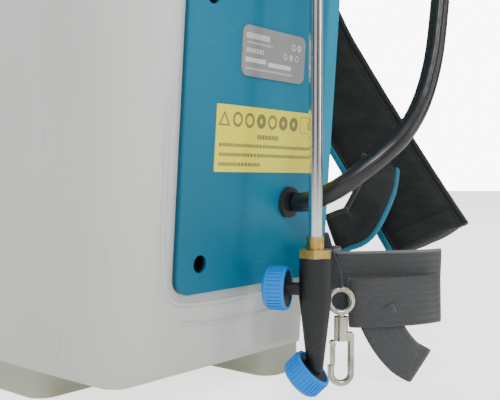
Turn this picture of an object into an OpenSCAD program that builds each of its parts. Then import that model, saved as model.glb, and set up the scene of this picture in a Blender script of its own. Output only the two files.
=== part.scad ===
// Backpack sprayer with a moulded tank, a battery pump, a clipped lance and a harness.
// +Z is up, +Y is the harness side, +X is the side that carries the pump cover.
// The origin is on the ground under the middle of the tank.

/* [Tank] */
// Width across the side faces at the base of the tank
base_w = 280; // [240:1:340]
// Depth from the rear face to the harness face
tank_d = 180; // [176:1:216]
// Height of the top of the tank
tank_top = 430; // [424:1:520]
// Height of the feet under the tank
foot_h = 20; // [12:1:28]
// Wall thickness of the tank
tank_wall = 3; // [2:0.5:4]
// Outward lean of the side faces in degrees
side_lean = 4.2; // [2:0.1:6]
// Radius of the upright corners
corner_r = 30; // [20:1:36]
// Radius of the top edges
edge_r = 16; // [10:1:20]
// Radius of the bottom edges
sole_r = 7; // [5:1:12]

/* [Filler] */
// Inner radius of the filler neck
neck_r = 45; // [36:1:50]
// Height of the filler neck above the tank
neck_h = 20; // [16:1:28]
// Depth of the strainer basket
strainer_h = 42; // [20:1:50]

/* [Side cover] */
// Width of the pump cover
cover_w = 138; // [130:1:146]
// Height of the pump cover along the face
cover_h = 345; // [340:1:350]
// Thickness of the cover plate
cover_t = 3; // [2:0.5:4]
// How far the cover stands proud of the tank
cover_proud = 4; // [3:0.5:6]
// Radius of the cover corners
cover_r = 9; // [4:1:14]
// Radius of the screw recesses
recess_r = 5; // [4:0.5:6]

/* [Pump] */
// Radius of the motor can
motor_r = 18; // [14:1:20]
// Radius of the pump body
pump_r = 22; // [18:1:24]

/* [Battery] */
// Width of the battery pack
battery_w = 72; // [60:1:80]
// Depth of the battery pack
battery_t = 56; // [44:1:58]
// Height of the battery pack
battery_h = 106; // [84:1:108]

/* [Lance] */
// Outer diameter of the lance tube
lance_d = 8; // [6:0.5:10]
// Distance of the lance from the cover at the lower clip
lance_reach = 24; // [20:1:30]
// Height of the top of the nozzle body
nozzle_top = 84.5; // [80:0.5:95]
// Outer diameter of the nozzle body
nozzle_d = 18.6; // [16:0.2:20]
// Outer diameter of the nozzle caps over their ribs
cap_d = 25.6; // [22:0.2:28]
// Length of a nozzle cap
cap_l = 13; // [11:0.5:15]

/* [Grip] */
// Length of the grip
grip_h = 168; // [150:1:200]
// Width of the grip from front to back
grip_w = 32; // [28:1:38]
// Thickness of the grip
grip_t = 28; // [26:1:34]

/* [Hose] */
// Outer diameter of the hose
hose_d = 12; // [10:0.5:13]

/* [Harness] */
// Width of a shoulder strap
strap_w = 62; // [50:1:70]
// Thickness of a shoulder strap
strap_t = 12; // [8:1:16]
// Width of the belt webbing
belt_w = 38; // [25:1:50]
// Thickness of the webbing
web_t = 2; // [1.5:0.5:3]

/* [Hidden] */

$fn = 64;
gap = 0.3;          // clearance between pieces that pass each other
run_fit = 0.05;     // radial clearance of a pin in its bore
eps = 0.01;

// Face frame: x outward from the side face, y as the sprayer's, z up along the face.
function face_x(z) = base_w / 2 + tan(side_lean) * (z - foot_h);
function along(z) = (z - foot_h) / cos(side_lean);

cover_y = 17;                               // middle of the cover across the side
cover_low = along(66.5);                    // lower edge of the cover along the face
cover_top = cover_low + cover_h;
screw_y = [cover_y - cover_w / 2 + 17, cover_y + cover_w / 2 - 17];
screw_row = [cover_low + 16.5, cover_low + 162.5, cover_top - 34];
screw_rise = 34;                            // the middle screw sits higher on the harness side
boss_r = recess_r + 2;
boss_depth = 8;

pocket_y = [-25, 59];                       // pump pocket across the side
pocket_low = along(96);
pocket_mid = along(250);
pocket_high = along(368);
pocket_depth = 64;
pocket_shallow = 26;

grommet_y = 42;
grommet_z = 115.4;
tube_r = hose_d / 2;

control_row = along(318);                   // the button and the dial
button_y = -6;
button_r = 8;
dial_y = 46;
dial_r = 13;
dial_h = 12;

label_y = [-28, 69];
label_row = [along(133.7), along(171.3)];
label_t = 0.4;
plate_y = [-10, 49.8];
plate_row = [along(188.6), along(217.2)];
plate_t = 0.8;

bay_x = base_w / 2 - 65;                    // middle of the battery bay
bay_w = battery_w + 12;
bay_depth = max(battery_t + 18, tank_d / 2 - 16);
bay_low = 266;
bay_h = battery_h + 30;
bay_wall = 2;
rear_y = -tank_d / 2;
door_t = 4;
door_margin = 8;
door_pin_r = 2;
door_axis = [bay_x + bay_w / 2 + door_margin + 5, rear_y - 5];
knuckle_r = 4.5;

motor_x = base_w / 2 - 28;                  // axis of the pump and the motor
motor_y = 0;
head_low = 106;
pump_low = 127;
motor_low = 173;
motor_h = 62;
shaft_r = 3;

neck_x = -50;
neck_wall = 4;
cap_wall = 4;
cap_skirt = 24;
gasket_t = 2.4;
rim_t = 1.5;
neck_top = tank_top + neck_h;
cap_in_r = neck_r + neck_wall + 0.5;

handle_x = -50;
handle_y = tank_d / 2 - 24;
handle_span = 116;
handle_rise = 46;
handle_bar_r = 9;

drain_y = 20;
drain_z = foot_h + 42;
drain_r = 17;

lance_r = lance_d / 2;
lance_y = 19.6;
clip_z = [287, 394];
lance_x = face_x(clip_z[0]) + cover_proud + lance_reach;
fitting_h = 12;
nut_h = 4.8;
nozzle_turn = 203;                          // way the spouts point, in plan
spout_z = nozzle_top - 18.3;
spout_out = 16;
tip_z = 21.5;
tip_out = 0.8;
cone_top = nozzle_top - 23;

grip_low = tank_top + 4;
grip_top = grip_low + grip_h;
grip_wall = 2.5;
trigger_at = [lance_y - grip_w / 2 + 4, grip_low + 14];
trigger_pin_r = 2;
lever_t = 12;
stem_z = trigger_at[1] + 44;
stem_r = 2.5;
nut_top = grip_top + 12;

pad_gap = 1;
pad_w = 210;
pad_t = 22;
pad_z = [110, 360];

hook_at = [base_w / 2 + 46, 49];            // swivel axis of the snap hook
hook_turn = 40;
hook_r = 2;
bow_r = 6;
bow_z = 12;

// Free run of the hose, from the grommet to the nut on the grip; x is from the side of the base.
hose_bends = [
  [16, 42, 115.4], [24, 42, 115.4], [35, 43.4, 118.6], [46, 47.5, 124.6], [56, 54.8, 133.6],
  [65, 65.5, 144.2], [71.5, 79, 157], [75, 94, 176], [76, 107.5, 202], [74.5, 119, 234],
  [72, 128.5, 270], [67, 139.2, 336], [66, 140, 361], [66.3, 132.2, 390], [66.8, 111, 411.2],
  [67.3, 97, 417], [67.8, 82, 419], [68.6, 67, 417], [69.5, 53, 411.2], [71.3, 31.8, 390],
  [73, 24, 361], [75, 31.8, 332], [77, 53, 310.8], [79, 82, 303], [81, 111, 310.8],
  [83, 132.2, 332], [84, 140, 361]
];
hose_rise = [
  [84.5, 142.5, -214], [83.5, 144, -169], [80.5, 144.3, -124], [75.5, 143.3, -79],
  [63, 139.5, 22.2], [58, 130.5, 49.8], [54, 108.7, 70.5], [51, 79.6, 78], [49, 50.5, 70.5],
  [48, 28.7, 49.8]
];
hose_route = concat(
  [for (q = hose_bends) [q[0] + base_w / 2, q[1], q[2]]],
  [for (q = hose_rise) [q[0] + base_w / 2, q[1], q[2] + nut_top]],
  [[lance_x, lance_y, nut_top + 18], [lance_x, lance_y, nut_top + 0.1]]);

function unit(v) = v / norm(v);
function tangent(p, i) = unit(p[min(i + 1, len(p) - 1)] - p[max(i - 1, 0)]);
function ring(p, i, section, ref) =
  let (t = tangent(p, i), r = is_list(ref[0]) ? ref[i] : ref, a = unit(cross(t, r)), b = cross(a, t))
  [for (q = section) p[i] + q[0] * a + q[1] * b];
function round_section(r, n) = [for (k = [0:n - 1]) r * [cos(360 * k / n), sin(360 * k / n)]];
function flat_section(w, t) = [[w, t] / 2, [-w, t] / 2, [-w, -t] / 2, [w, -t] / 2];

// Sweeps a section along a list of points; ref is a direction that the run never takes.
// side is -1 where the run is turned over left to right, so that its facets are turned over too.
module sweep(p, section, ref, side = 1) {
  n = len(section);
  last = len(p) - 1;
  polyhedron(
    points = [for (i = [0:last]) each ring(p, i, section, ref)],
    faces = concat(
      [[for (k = [n - 1:-1:0]) k]],
      [for (i = [0:last - 1], k = [0:n - 1]) let (j = (k + 1) % n)
        [i * n + k, i * n + j, (i + 1) * n + (side == 1 ? j : k)]],
      [for (i = [0:last - 1], k = [0:n - 1]) let (j = (k + 1) % n)
        [i * n + (side == 1 ? k : j), (i + 1) * n + j, (i + 1) * n + k]],
      [[for (k = [0:n - 1]) last * n + k]]
    )
  );
}

module on_face() translate([base_w / 2, 0, foot_h]) rotate([0, side_lean, 0]) children();

// Rod along the face's outward direction.
module face_rod(y, row, from, to, r)
  translate([from, y, row]) rotate([0, 90, 0]) cylinder(h = to - from, r = r);

module tube(r_out, r_in, h) difference() {
  cylinder(h = h, r = r_out);
  translate([0, 0, -1]) cylinder(h = h + 2, r = r_in);
}

module round_rect(low, high, r) {
  translate([low[0] + r, low[1]]) square([high[0] - low[0] - 2 * r, high[1] - low[1]]);
  translate([low[0], low[1] + r]) square([high[0] - low[0], high[1] - low[1] - 2 * r]);
  for (x = [low[0] + r, high[0] - r], y = [low[1] + r, high[1] - r])
    translate([x, y]) circle(r = r);
}

// Upright slab with round corners in plan.
module plinth(low, high, z, r)
  translate([0, 0, z[0]]) linear_extrude(z[1] - z[0]) round_rect(low, high, r);

// Flat plate on the face, with round corners.
module face_plate(y, row, from, to, r)
  translate([from, 0, 0]) rotate([90, 0, 90]) linear_extrude(to - from)
    round_rect([y[0], row[0]], [y[1], row[1]], r);

// ---- Tank ----

// Leaning walls of the +X half, with round upright corners.
module lean_half(inset) {
  half = tank_d / 2 - inset;
  reach = base_w / 2 + 80;
  intersection() {
    on_face() translate([0, 0, -60]) linear_extrude(tank_top + 120) union() {
      translate([-reach, -half]) square([reach - corner_r, 2 * half]);
      translate([-reach, corner_r - tank_d / 2]) square([reach - inset, tank_d - 2 * corner_r]);
      for (s = [-1, 1]) translate([-corner_r, s * (tank_d / 2 - corner_r)])
        circle(r = corner_r - inset);
    }
    translate([-1, -tank_d, -50]) cube([reach * 2, 2 * tank_d, tank_top + 100]);
  }
}

// Front outline: a box that widens upward, with round edges.
module front_outline(inset) {
  out = [cos(side_lean), -sin(side_lean)];
  low = foot_h + sole_r;
  high = tank_top - edge_r;
  low_x = face_x(low) - sole_r / cos(side_lean);
  high_x = face_x(high) - edge_r / cos(side_lean);
  sole = sole_r - inset;
  edge = edge_r - inset;
  right = [[low_x, low - sole], [low_x, low] + sole * out, [high_x, high] + edge * out,
    [high_x, high + edge]];
  polygon(concat(right, [for (k = [3:-1:0]) [-right[k][0], right[k][1]]]));
  for (s = [-1, 1]) {
    translate([s * low_x, low]) circle(r = sole);
    translate([s * high_x, high]) circle(r = edge);
  }
}

module side_outline(inset) {
  half = tank_d / 2 - inset;
  round_rect([-half, foot_h + 3 * edge_r], [half, tank_top - inset], edge_r - inset);
  round_rect([-half, foot_h + inset], [half, tank_top / 2], sole_r - inset);
}

module tank_form(inset) intersection() {
  union() {
    lean_half(inset);
    mirror([1, 0, 0]) lean_half(inset);
  }
  rotate([90, 0, 0]) linear_extrude(tank_d + 20, center = true) front_outline(inset);
  rotate([90, 0, 90]) linear_extrude(base_w + 200, center = true) side_outline(inset);
}

module feet(inset) {
  reach = base_w / 2 - 9 - inset;
  plinth([-reach, tank_d / 2 - 42 + inset], [reach, tank_d / 2 - 3 - inset],
    [inset, foot_h + edge_r + 12], 12 - inset);
  plinth([inset - 60, inset - tank_d / 2 + 12], [60 - inset, 20 - inset],
    [inset, foot_h + edge_r + 12], 12 - inset);
}

// Recess for the pump and its board, open at the side face.
module pump_pocket(grow) {
  y = [pocket_y[0] - grow, pocket_y[1] + grow];
  face_plate(y, [pocket_low - grow, pocket_mid + grow], -pocket_depth - grow, 20, 6 + grow);
  face_plate(y, [pocket_mid - 20, pocket_high + grow], -pocket_shallow - grow, 20, 6 + grow);
}

// Recess for the battery, open at the rear face.
module bay(grow, out) {
  half = bay_w / 2 + grow;
  translate([0, rear_y + bay_depth + grow, 0]) rotate([90, 0, 0])
    linear_extrude(bay_depth + grow + out)
      round_rect([bay_x - half, bay_low - grow], [bay_x + half, bay_low + bay_h + grow], 4 + grow);
}

wire_y = rear_y + bay_depth - 5;
wire_r = 3;

module wire_channel(r) translate([motor_x, wire_y, 240]) cylinder(h = 40, r = r);

module each_screw() for (side = [0, 1], k = [0:2])
  translate([0, screw_y[side], screw_row[k] + (k == 1 ? side * screw_rise : 0)]) children();

module tank() color([0.87, 0.88, 0.86]) difference() {
  union() {
    difference() {
      union() { tank_form(0); feet(0); }
      union() { tank_form(tank_wall); feet(tank_wall); }
    }
    intersection() {
      tank_form(0);
      union() {
        on_face() pump_pocket(tank_wall);
        bay(tank_wall, 0);
        wire_channel(9);
        on_face() each_screw() rotate([0, -90, 0]) cylinder(h = 28, r = boss_r + 3);
        translate([-face_x(drain_z), drain_y, drain_z]) rotate([0, 90, 0]) cylinder(h = 16, r = 16);
      }
    }
    translate([neck_x, 0, tank_top - edge_r]) cylinder(h = neck_h + edge_r, r = neck_r + neck_wall);
    for (s = [-1, 1]) translate([handle_x + s * handle_span / 2, handle_y, tank_top - 18])
      cylinder(h = 19, r = 10);
  }
  on_face() pump_pocket(0);
  bay(0, 20);
  wire_channel(5);
  on_face() each_screw() {
    rotate([0, 90, 0]) translate([0, 0, -boss_depth - gap]) cylinder(h = 20, r = boss_r + gap);
    rotate([0, -90, 0]) cylinder(h = 24, r = 2.5);
  }
  translate([neck_x, 0, tank_top - edge_r - 1]) cylinder(h = neck_h + edge_r + 2, r = neck_r);
  translate([-face_x(drain_z) - 20, drain_y, drain_z]) rotate([0, 90, 0]) cylinder(h = 60, r = 10);
  translate([motor_x, motor_y, 80]) cylinder(h = 30, r = 6);
  for (s = [-1, 1]) translate([handle_x + s * handle_span / 2, handle_y, tank_top - 15])
    cylinder(h = 20, r = 2.5);
}

// ---- Side cover and what is on it ----

module side_cover() color([0.16, 0.60, 0.70]) on_face() difference() {
  y = [cover_y - cover_w / 2, cover_y + cover_w / 2];
  row = [cover_low, cover_top];
  inside = cover_proud - cover_t;
  union() {
    difference() {
      face_plate(y, row, gap / 3, cover_proud, cover_r);
      face_plate([y[0] + 3, y[1] - 3], [row[0] + 3, row[1] - 3], -1, inside, cover_r - 3);
    }
    each_screw() rotate([0, 90, 0]) translate([0, 0, -boss_depth])
      cylinder(h = boss_depth + cover_proud - 0.5, r = boss_r);
  }
  each_screw() {
    rotate([0, 90, 0]) translate([0, 0, 2 - boss_depth]) cylinder(h = 30, r = recess_r);
    rotate([0, -90, 0]) cylinder(h = 20, r = 2.7);
  }
  face_rod(grommet_y, along(grommet_z), -5, 10, tube_r + 1.6);
  face_rod(button_y, control_row, -5, 10, button_r + gap);
  face_rod(dial_y, control_row, -5, 10, 4 + gap);
}

module cover_gasket() color([0.15, 0.15, 0.15]) on_face() difference() {
  outer = 2.6;
  inner = 0.6;
  face_plate([pocket_y[0] - outer, pocket_y[1] + outer], [pocket_low - outer, pocket_high + outer],
    0, cover_proud - cover_t, 8);
  face_plate([pocket_y[0] - inner, pocket_y[1] + inner], [pocket_low - inner, pocket_high + inner],
    -1, 5, 6);
}

module cover_screws() color([0.3, 0.3, 0.32]) on_face() each_screw() difference() {
  union() {
    rotate([0, 90, 0]) translate([0, 0, 2 - boss_depth]) cylinder(h = 3, r = recess_r - 0.6);
    rotate([0, -90, 0]) translate([0, 0, boss_depth - 3]) cylinder(h = 18, r = 2.5);
  }
  for (turn = [0, 90]) rotate([turn, 0, 0])
    translate([5 - boss_depth - 1.5, -2.5, -0.5]) cube([5, 5, 1]);
}

module rating_plate() color([0.62, 0.62, 0.63]) on_face()
  face_plate(plate_y, plate_row, cover_proud, cover_proud + plate_t, 5);

module warning_label() color([0.87, 0.84, 0.45]) on_face()
  face_plate(label_y, label_row, cover_proud, cover_proud + label_t, 1);

module hose_grommet() color([0.12, 0.12, 0.13]) difference() {
  on_face() {
    row = along(grommet_z);
    face_rod(grommet_y, row, cover_proud, cover_proud + 2.5, tube_r + 3.5);
    face_rod(grommet_y, row, cover_proud - cover_t - 2, cover_proud + 1, tube_r + 1.6);
    face_rod(grommet_y, row, cover_proud - cover_t - 3, cover_proud - cover_t, tube_r + 3);
  }
  translate([120, grommet_y, grommet_z]) rotate([0, 90, 0]) cylinder(h = 80, r = tube_r + run_fit);
}

module power_button() color([0.85, 0.25, 0.15]) on_face() {
  face_rod(button_y, control_row, -6, cover_proud + 5, button_r);
  face_rod(button_y, control_row, -8, -6 + eps, button_r + 2);
}

module pressure_dial() color([0.15, 0.15, 0.16]) on_face() {
  face_rod(dial_y, control_row, cover_proud + gap, cover_proud + dial_h, dial_r);
  face_rod(dial_y, control_row, -8, cover_proud + 1, 4);
  for (turn = [0:30:330]) translate([0, dial_y, control_row]) rotate([turn, 0, 0])
    translate([cover_proud + 2, dial_r - 0.5, -1]) cube([dial_h - 3, 1.5, 2]);
  translate([cover_proud + dial_h - 1, dial_y - 1, control_row]) cube([2, 2, dial_r - 1]);
}

// ---- Pump ----

module at_pump(z) translate([motor_x, motor_y, z]) children();

module pump_head() color([0.14, 0.14, 0.15]) difference() {
  union() {
    translate([motor_x - 20, motor_y - 20, head_low])
      cube([40, 40, pump_low - head_low]);
    translate([motor_x, motor_y + 19, grommet_z]) rotate([-90, 0, 0]) cylinder(h = 7, r = 7);
    at_pump(head_low - 10) cylinder(h = 11, r = 5.9);
  }
  at_pump(head_low - 12) cylinder(h = 18, r = 3.5);
  translate([motor_x, motor_y + 8, grommet_z]) rotate([-90, 0, 0]) cylinder(h = 30, r = 3.5);
}

module pump_body() color([0.75, 0.76, 0.78]) at_pump(pump_low + 3) difference() {
  cylinder(h = motor_low - pump_low - 3, r = pump_r);
  translate([0, 0, -1]) cylinder(h = 38, r = pump_r - 4);
  cylinder(h = 80, r = shaft_r + 1);
}

module diaphragm() color([0.1, 0.1, 0.1]) at_pump(pump_low) cylinder(h = 3, r = pump_r);

module drive_shaft() color([0.7, 0.7, 0.72]) {
  at_pump(pump_low + 12) cylinder(h = motor_low - pump_low + 6, r = shaft_r);
  at_pump(pump_low + 14) translate([3, 0, 0]) cylinder(h = 10, r = 11);
}

module motor() color([0.35, 0.36, 0.38]) difference() {
  union() {
    at_pump(motor_low) cylinder(h = motor_h, r = motor_r);
    at_pump(motor_low + motor_h - eps) cylinder(h = 4, r = 6);
  }
  at_pump(motor_low - 1) cylinder(h = 24, r = shaft_r + run_fit);
}

module pressure_switch() color([0.2, 0.2, 0.22])
  translate([motor_x - 14, motor_y - 20 - gap, head_low + 2]) mirror([0, 1, 0]) cube([26, 4, 16]);

module inlet_filter() color([0.2, 0.35, 0.6]) at_pump(56) difference() {
  cylinder(h = pocket_low + foot_h - 56 - 14, r = 14);
  translate([0, 0, 2]) cylinder(h = 80, r = 12);
  for (turn = [0:45:315], z = [6, 14]) rotate([0, 0, turn]) translate([10, -2, z]) cube([6, 4, 5]);
}

// Hidden part of the hose, from the pump head to the grommet's mouth.
module outlet_tube() color([0.12, 0.12, 0.13]) {
  bend = grommet_y - motor_y - 28;
  start = motor_y + 26 + eps;
  translate([motor_x, start, grommet_z]) rotate([-90, 0, 0])
    cylinder(h = grommet_y - bend - start, r = tube_r);
  translate([motor_x + bend, grommet_y - bend, grommet_z]) rotate([0, 0, 90])
    rotate_extrude(angle = 90) translate([bend, 0]) circle(r = tube_r);
  translate([motor_x + bend, grommet_y, grommet_z]) rotate([0, 90, 0])
    cylinder(h = hose_route[0][0] - motor_x - bend, r = tube_r);
}

module control_board() color([0.1, 0.4, 0.25]) on_face() {
  face_plate([pocket_y[0] + 3, pocket_y[1] - 3], [pocket_mid + 8, pocket_high - 6],
    -18, -16.4, 2);
  translate([-16.4, 10, pocket_mid + 16]) cube([6, 22, 14]);
  translate([-16.4, -14, pocket_mid + 18]) cube([4, 12, 12]);
}

module wiring() color([0.7, 0.1, 0.1]) translate([motor_x, wire_y, motor_low + motor_h + wire_r + gap]) {
  cylinder(h = bay_low - motor_low - motor_h, r = wire_r);
  sphere(r = wire_r);
  rotate([-90, 0, 0]) cylinder(h = -wire_y - 6.2, r = wire_r);
}

// ---- Battery ----

module battery_housing() color([0.2, 0.2, 0.22]) difference() {
  union() {
    bay(-gap, 0);
    translate([0, rear_y, 0]) rotate([90, 0, 0]) linear_extrude(2) round_rect(
      [bay_x - bay_w / 2 - 5, bay_low - 5], [bay_x + bay_w / 2 + 5, bay_low + bay_h + 5], 8);
    for (z = [bay_low + 34, bay_low + bay_h - 54]) translate([door_axis[0], door_axis[1], z]) {
      cylinder(h = 20, r = knuckle_r);
      translate([-10, 3, 0]) cube([14, 2, 20]);
    }
  }
  bay(-bay_wall - gap, 20);
  translate([door_axis[0], door_axis[1], bay_low]) cylinder(h = bay_h, r = door_pin_r);
  translate([motor_x, wire_y, bay_low - 5]) cylinder(h = 20, r = wire_r);
}

battery_low = bay_low + bay_wall + 4;
blade_h = 9;

module battery_terminals() color([0.8, 0.55, 0.3]) {
  translate([bay_x - 20, rear_y + 22, bay_low + bay_wall + gap]) cube([40, 24, 3]);
  for (s = [-1, 1]) translate([bay_x + s * 10 - 0.6, rear_y + 26, bay_low + bay_wall + 3])
    cube([1.2, 14, blade_h]);
}

module battery_pack() color([0.13, 0.13, 0.14]) difference() {
  plinth([bay_x - battery_w / 2, rear_y + 5], [bay_x + battery_w / 2, rear_y + 5 + battery_t],
    [battery_low, battery_low + battery_h], 5);
  for (s = [-1, 1]) translate([bay_x + s * 10 - 1.2, rear_y + 25, battery_low - 1])
    cube([2.4, 16, blade_h + 2]);
  translate([bay_x - 18, rear_y + 4, battery_low + battery_h - 24]) cube([36, 4, 14]);
}

module battery_door() color([0.16, 0.60, 0.70]) difference() {
  half = bay_w / 2 + door_margin;
  union() {
    translate([0, rear_y - 2 - gap, 0]) rotate([90, 0, 0]) linear_extrude(door_t) round_rect(
      [bay_x - half, bay_low - door_margin], [bay_x + half, bay_low + bay_h + door_margin], 9);
    for (z = [bay_low + 12, bay_low + bay_h - 32]) translate([door_axis[0], door_axis[1], z]) {
      cylinder(h = 20, r = knuckle_r);
      translate([-10, -1.3, 0]) cube([10, door_t, 20]);
    }
  }
  translate([door_axis[0], door_axis[1], bay_low]) cylinder(h = bay_h, r = door_pin_r + run_fit);
  for (z = [bay_low + 34, bay_low + bay_h - 54]) translate([door_axis[0], door_axis[1], z - gap])
    cylinder(h = 20 + 2 * gap, r = knuckle_r + 1);
  translate([bay_x - bay_w / 2 + 8, 0, bay_low + bay_h / 2]) rotate([90, 0, 0])
    cylinder(h = tank_d, r = 3 + run_fit);
}

module door_pin() color([0.7, 0.7, 0.72]) translate([door_axis[0], door_axis[1], bay_low + 10])
  cylinder(h = bay_h - 20, r = door_pin_r);

// Quarter-turn latch: the cam stands upright while unlocked.
module door_latch() color([0.15, 0.15, 0.16])
  translate([bay_x - bay_w / 2 + 8, rear_y - 2 - gap - door_t, bay_low + bay_h / 2]) {
    translate([0, -gap, 0]) rotate([90, 0, 0]) cylinder(h = 5, r = 9);
    translate([-1.5, -9, -8]) cube([3, 5, 16]);
    translate([0, door_t + 3.6, 0]) rotate([90, 0, 0]) cylinder(h = door_t + 5, r = 3);
    translate([-2, door_t + 1, -4]) cube([4, 2.5, 14]);
  }

// ---- Filler ----

module strainer() color([0.15, 0.3, 0.6]) translate([neck_x, 0, 0]) difference() {
  union() {
    translate([0, 0, neck_top]) cylinder(h = rim_t, r = neck_r + neck_wall - 0.5);
    translate([0, 0, neck_top - strainer_h]) cylinder(h = strainer_h + eps, r = neck_r - 0.6);
  }
  translate([0, 0, neck_top - strainer_h + 2]) cylinder(h = strainer_h + 10, r = neck_r - 2.6);
  for (turn = [0:30:330]) rotate([0, 0, turn])
    translate([neck_r - 6, -5, neck_top - strainer_h + 5]) cube([10, 10, strainer_h - 16]);
  for (x = [-24:12:24]) translate([x - 3, -24, neck_top - strainer_h - 1]) cube([6, 48, 4]);
}

module cap_gasket() color([0.12, 0.12, 0.12])
  translate([neck_x, 0, neck_top + rim_t]) tube(neck_r + neck_wall - 0.5, neck_r - 4, gasket_t);

module filler_cap() color([0.16, 0.60, 0.70]) translate([neck_x, 0, neck_top + rim_t + gasket_t])
  difference() {
    union() {
      translate([0, 0, 3 - cap_skirt + 1]) cylinder(h = cap_skirt - 2, r = cap_in_r + cap_wall);
      translate([0, 0, 1.9]) cylinder(h = 2, r = cap_in_r + cap_wall - 2);
      for (turn = [0:12:348]) rotate([0, 0, turn])
        translate([cap_in_r + cap_wall - 0.5, -1.5, 5 - cap_skirt]) cube([2, 3, cap_skirt - 6]);
      translate([6 - cap_in_r, -4, 2]) cube([2 * cap_in_r - 12, 8, 8]);
    }
    translate([0, 0, -cap_skirt - 5]) cylinder(h = cap_skirt + 5, r = cap_in_r);
    translate([0, 0, -10]) cylinder(h = 30, r = 3);
  }

module vent_valve() color([0.1, 0.1, 0.1]) translate([neck_x, 0, neck_top + rim_t + gasket_t]) {
  translate([0, 0, -2.2]) cylinder(h = 2.2, r = 8);
  translate([0, 0, -1]) cylinder(h = 8, r = 3);
}

module drain_cap() color([0.15, 0.15, 0.16])
  translate([-face_x(drain_z) - 1.5, drain_y, drain_z]) rotate([0, -90, 0]) {
    cylinder(h = 13, r = drain_r);
    translate([0, 0, -16]) cylinder(h = 17, r = 9.6);
    for (turn = [0:30:330]) rotate([0, 0, turn])
      translate([drain_r - 0.5, -1.5, 1]) cube([1.5, 3, 11]);
  }

// ---- Carry handle ----

module carry_handle() color([0.15, 0.15, 0.16]) translate([handle_x, handle_y, tank_top + 1]) {
  for (s = [-1, 1]) translate([s * handle_span / 2, 0, 0]) difference() {
    cylinder(h = handle_rise - handle_bar_r, r = 9);
    translate([0, 0, -1]) cylinder(h = 12, r = 2.5);
  }
  translate([0, 0, handle_rise - handle_bar_r]) {
    rotate([0, 90, 0]) cylinder(h = handle_span, r = handle_bar_r, center = true);
    for (s = [-1, 1]) translate([s * handle_span / 2, 0, 0]) sphere(r = handle_bar_r);
  }
}

module handle_screws() color([0.3, 0.3, 0.32]) for (s = [-1, 1])
  translate([handle_x + s * handle_span / 2, handle_y, tank_top - 14]) cylinder(h = 24, r = 2.5);

// ---- Lance, its clips and the hose hook ----

module at_lance(z) translate([lance_x, lance_y, z]) children();

module lance_clip(z) color([0.15, 0.15, 0.16]) {
  row = along(z);
  difference() {
    union() {
      on_face() face_plate([lance_y - 12, lance_y + 12], [row - 9, row + 9],
        cover_proud, cover_proud + 3, 4);
      translate([face_x(z) + cover_proud + 1, lance_y - 4, z - 7])
        cube([lance_x - lance_r - face_x(z) - cover_proud, 8, 14]);
      at_lance(z - 7) cylinder(h = 14, r = lance_r + 4);
    }
    at_lance(z - 20) cylinder(h = 40, r = lance_r + 0.15);
    at_lance(z - 20) translate([0, -lance_r + 1, 0]) cube([20, 2 * lance_r - 2, 40]);
  }
}

module lance_clip_lower() lance_clip(clip_z[0]);
module lance_clip_upper() lance_clip(clip_z[1]);

// Peg that carries the spare turn of the hose.
module hose_hook() color([0.15, 0.15, 0.16]) {
  peg_y = 78;
  peg_top = 411.3;
  row = cover_top - 10;
  on_face() face_plate([peg_y - 13, peg_y + 7], [row - 9, row + 9], cover_proud, cover_proud + 3, 4);
  start = face_x(400) + cover_proud + 1;
  translate([start, peg_y - 6, peg_top - 8]) cube([225 - start, 12, 8]);
  translate([221, peg_y - 6, peg_top - 8]) cube([4, 12, 18]);
}

module lance_tube() color([0.8, 0.8, 0.82]) at_lance(nozzle_top + 3)
  tube(lance_r, lance_r - 1, grip_low + 30 - nozzle_top);

module lance_fitting() color([0.76, 0.6, 0.28]) at_lance(nozzle_top) difference() {
  union() {
    cylinder(h = nut_h, d = 20.2, $fn = 6);
    cylinder(h = fitting_h, r = lance_r + 1);
  }
  translate([0, 0, 3]) cylinder(h = 20, r = lance_r);
  translate([0, 0, -1]) cylinder(h = 10, r = 2);
}

// Frames of the two spouts: z runs outward along the spout.
module side_spout() at_lance(spout_z) rotate([0, 0, nozzle_turn])
  translate([spout_out, 0, 0]) rotate([0, 90, 0]) children();
module end_spout() at_lance(tip_z) rotate([0, 0, nozzle_turn])
  translate([tip_out, 0, 0]) rotate([0, 135, 0]) children();

cap_r = cap_d / 2;
disc_r = cap_r - 2.3;

module spout_base(back) {
  translate([0, 0, -back]) cylinder(h = back + 1, r = 3.7);
  translate([0, 0, 0.5]) cylinder(h = 2.5, r = disc_r);
  translate([0, 0, 2.9]) cylinder(h = cap_l - 7.4, r = disc_r - 2);
}

module nozzle_body() color([0.16, 0.17, 0.18]) difference() {
  bottom_r = 4.7;
  union() {
    at_lance(cone_top) cylinder(h = nozzle_top - cone_top, r = nozzle_d / 2);
    at_lance(tip_z) cylinder(h = cone_top - tip_z + eps, r1 = bottom_r, r2 = nozzle_d / 2);
    at_lance(tip_z) sphere(r = bottom_r);
    side_spout() spout_base(spout_out - 2);
    end_spout() spout_base(0);
  }
  at_lance(tip_z + 3) cylinder(h = nozzle_top - tip_z, r = 2);
  side_spout() translate([0, 0, -spout_out]) cylinder(h = 40, r = 1.5);
  end_spout() translate([0, 0, -4]) cylinder(h = 20, r = 1.5);
}

module nozzle_tip() translate([0, 0, cap_l - 4.4]) difference() {
  cylinder(h = 1.7, r = disc_r - 2);
  translate([0, 0, -1]) cylinder(h = 4, r = 0.8);
}

module nozzle_tips() color([0.8, 0.8, 0.78]) {
  side_spout() nozzle_tip();
  end_spout() nozzle_tip();
}

module nozzle_cap() difference() {
  union() {
    cylinder(h = cap_l - 1.5, r = cap_r - 0.6);
    translate([0, 0, cap_l - 1.5 - eps]) cylinder(h = 1.5, r1 = cap_r - 0.6, r2 = cap_r - 2);
    for (turn = [0:10:350]) rotate([0, 0, turn])
      translate([cap_r - 1.2, -0.5, 1.5]) cube([1.2, 1, cap_l - 4]);
  }
  translate([0, 0, -1]) cylinder(h = cap_l - 1.4, r = disc_r + 0.2);
  cylinder(h = 40, r = 4);
}

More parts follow.
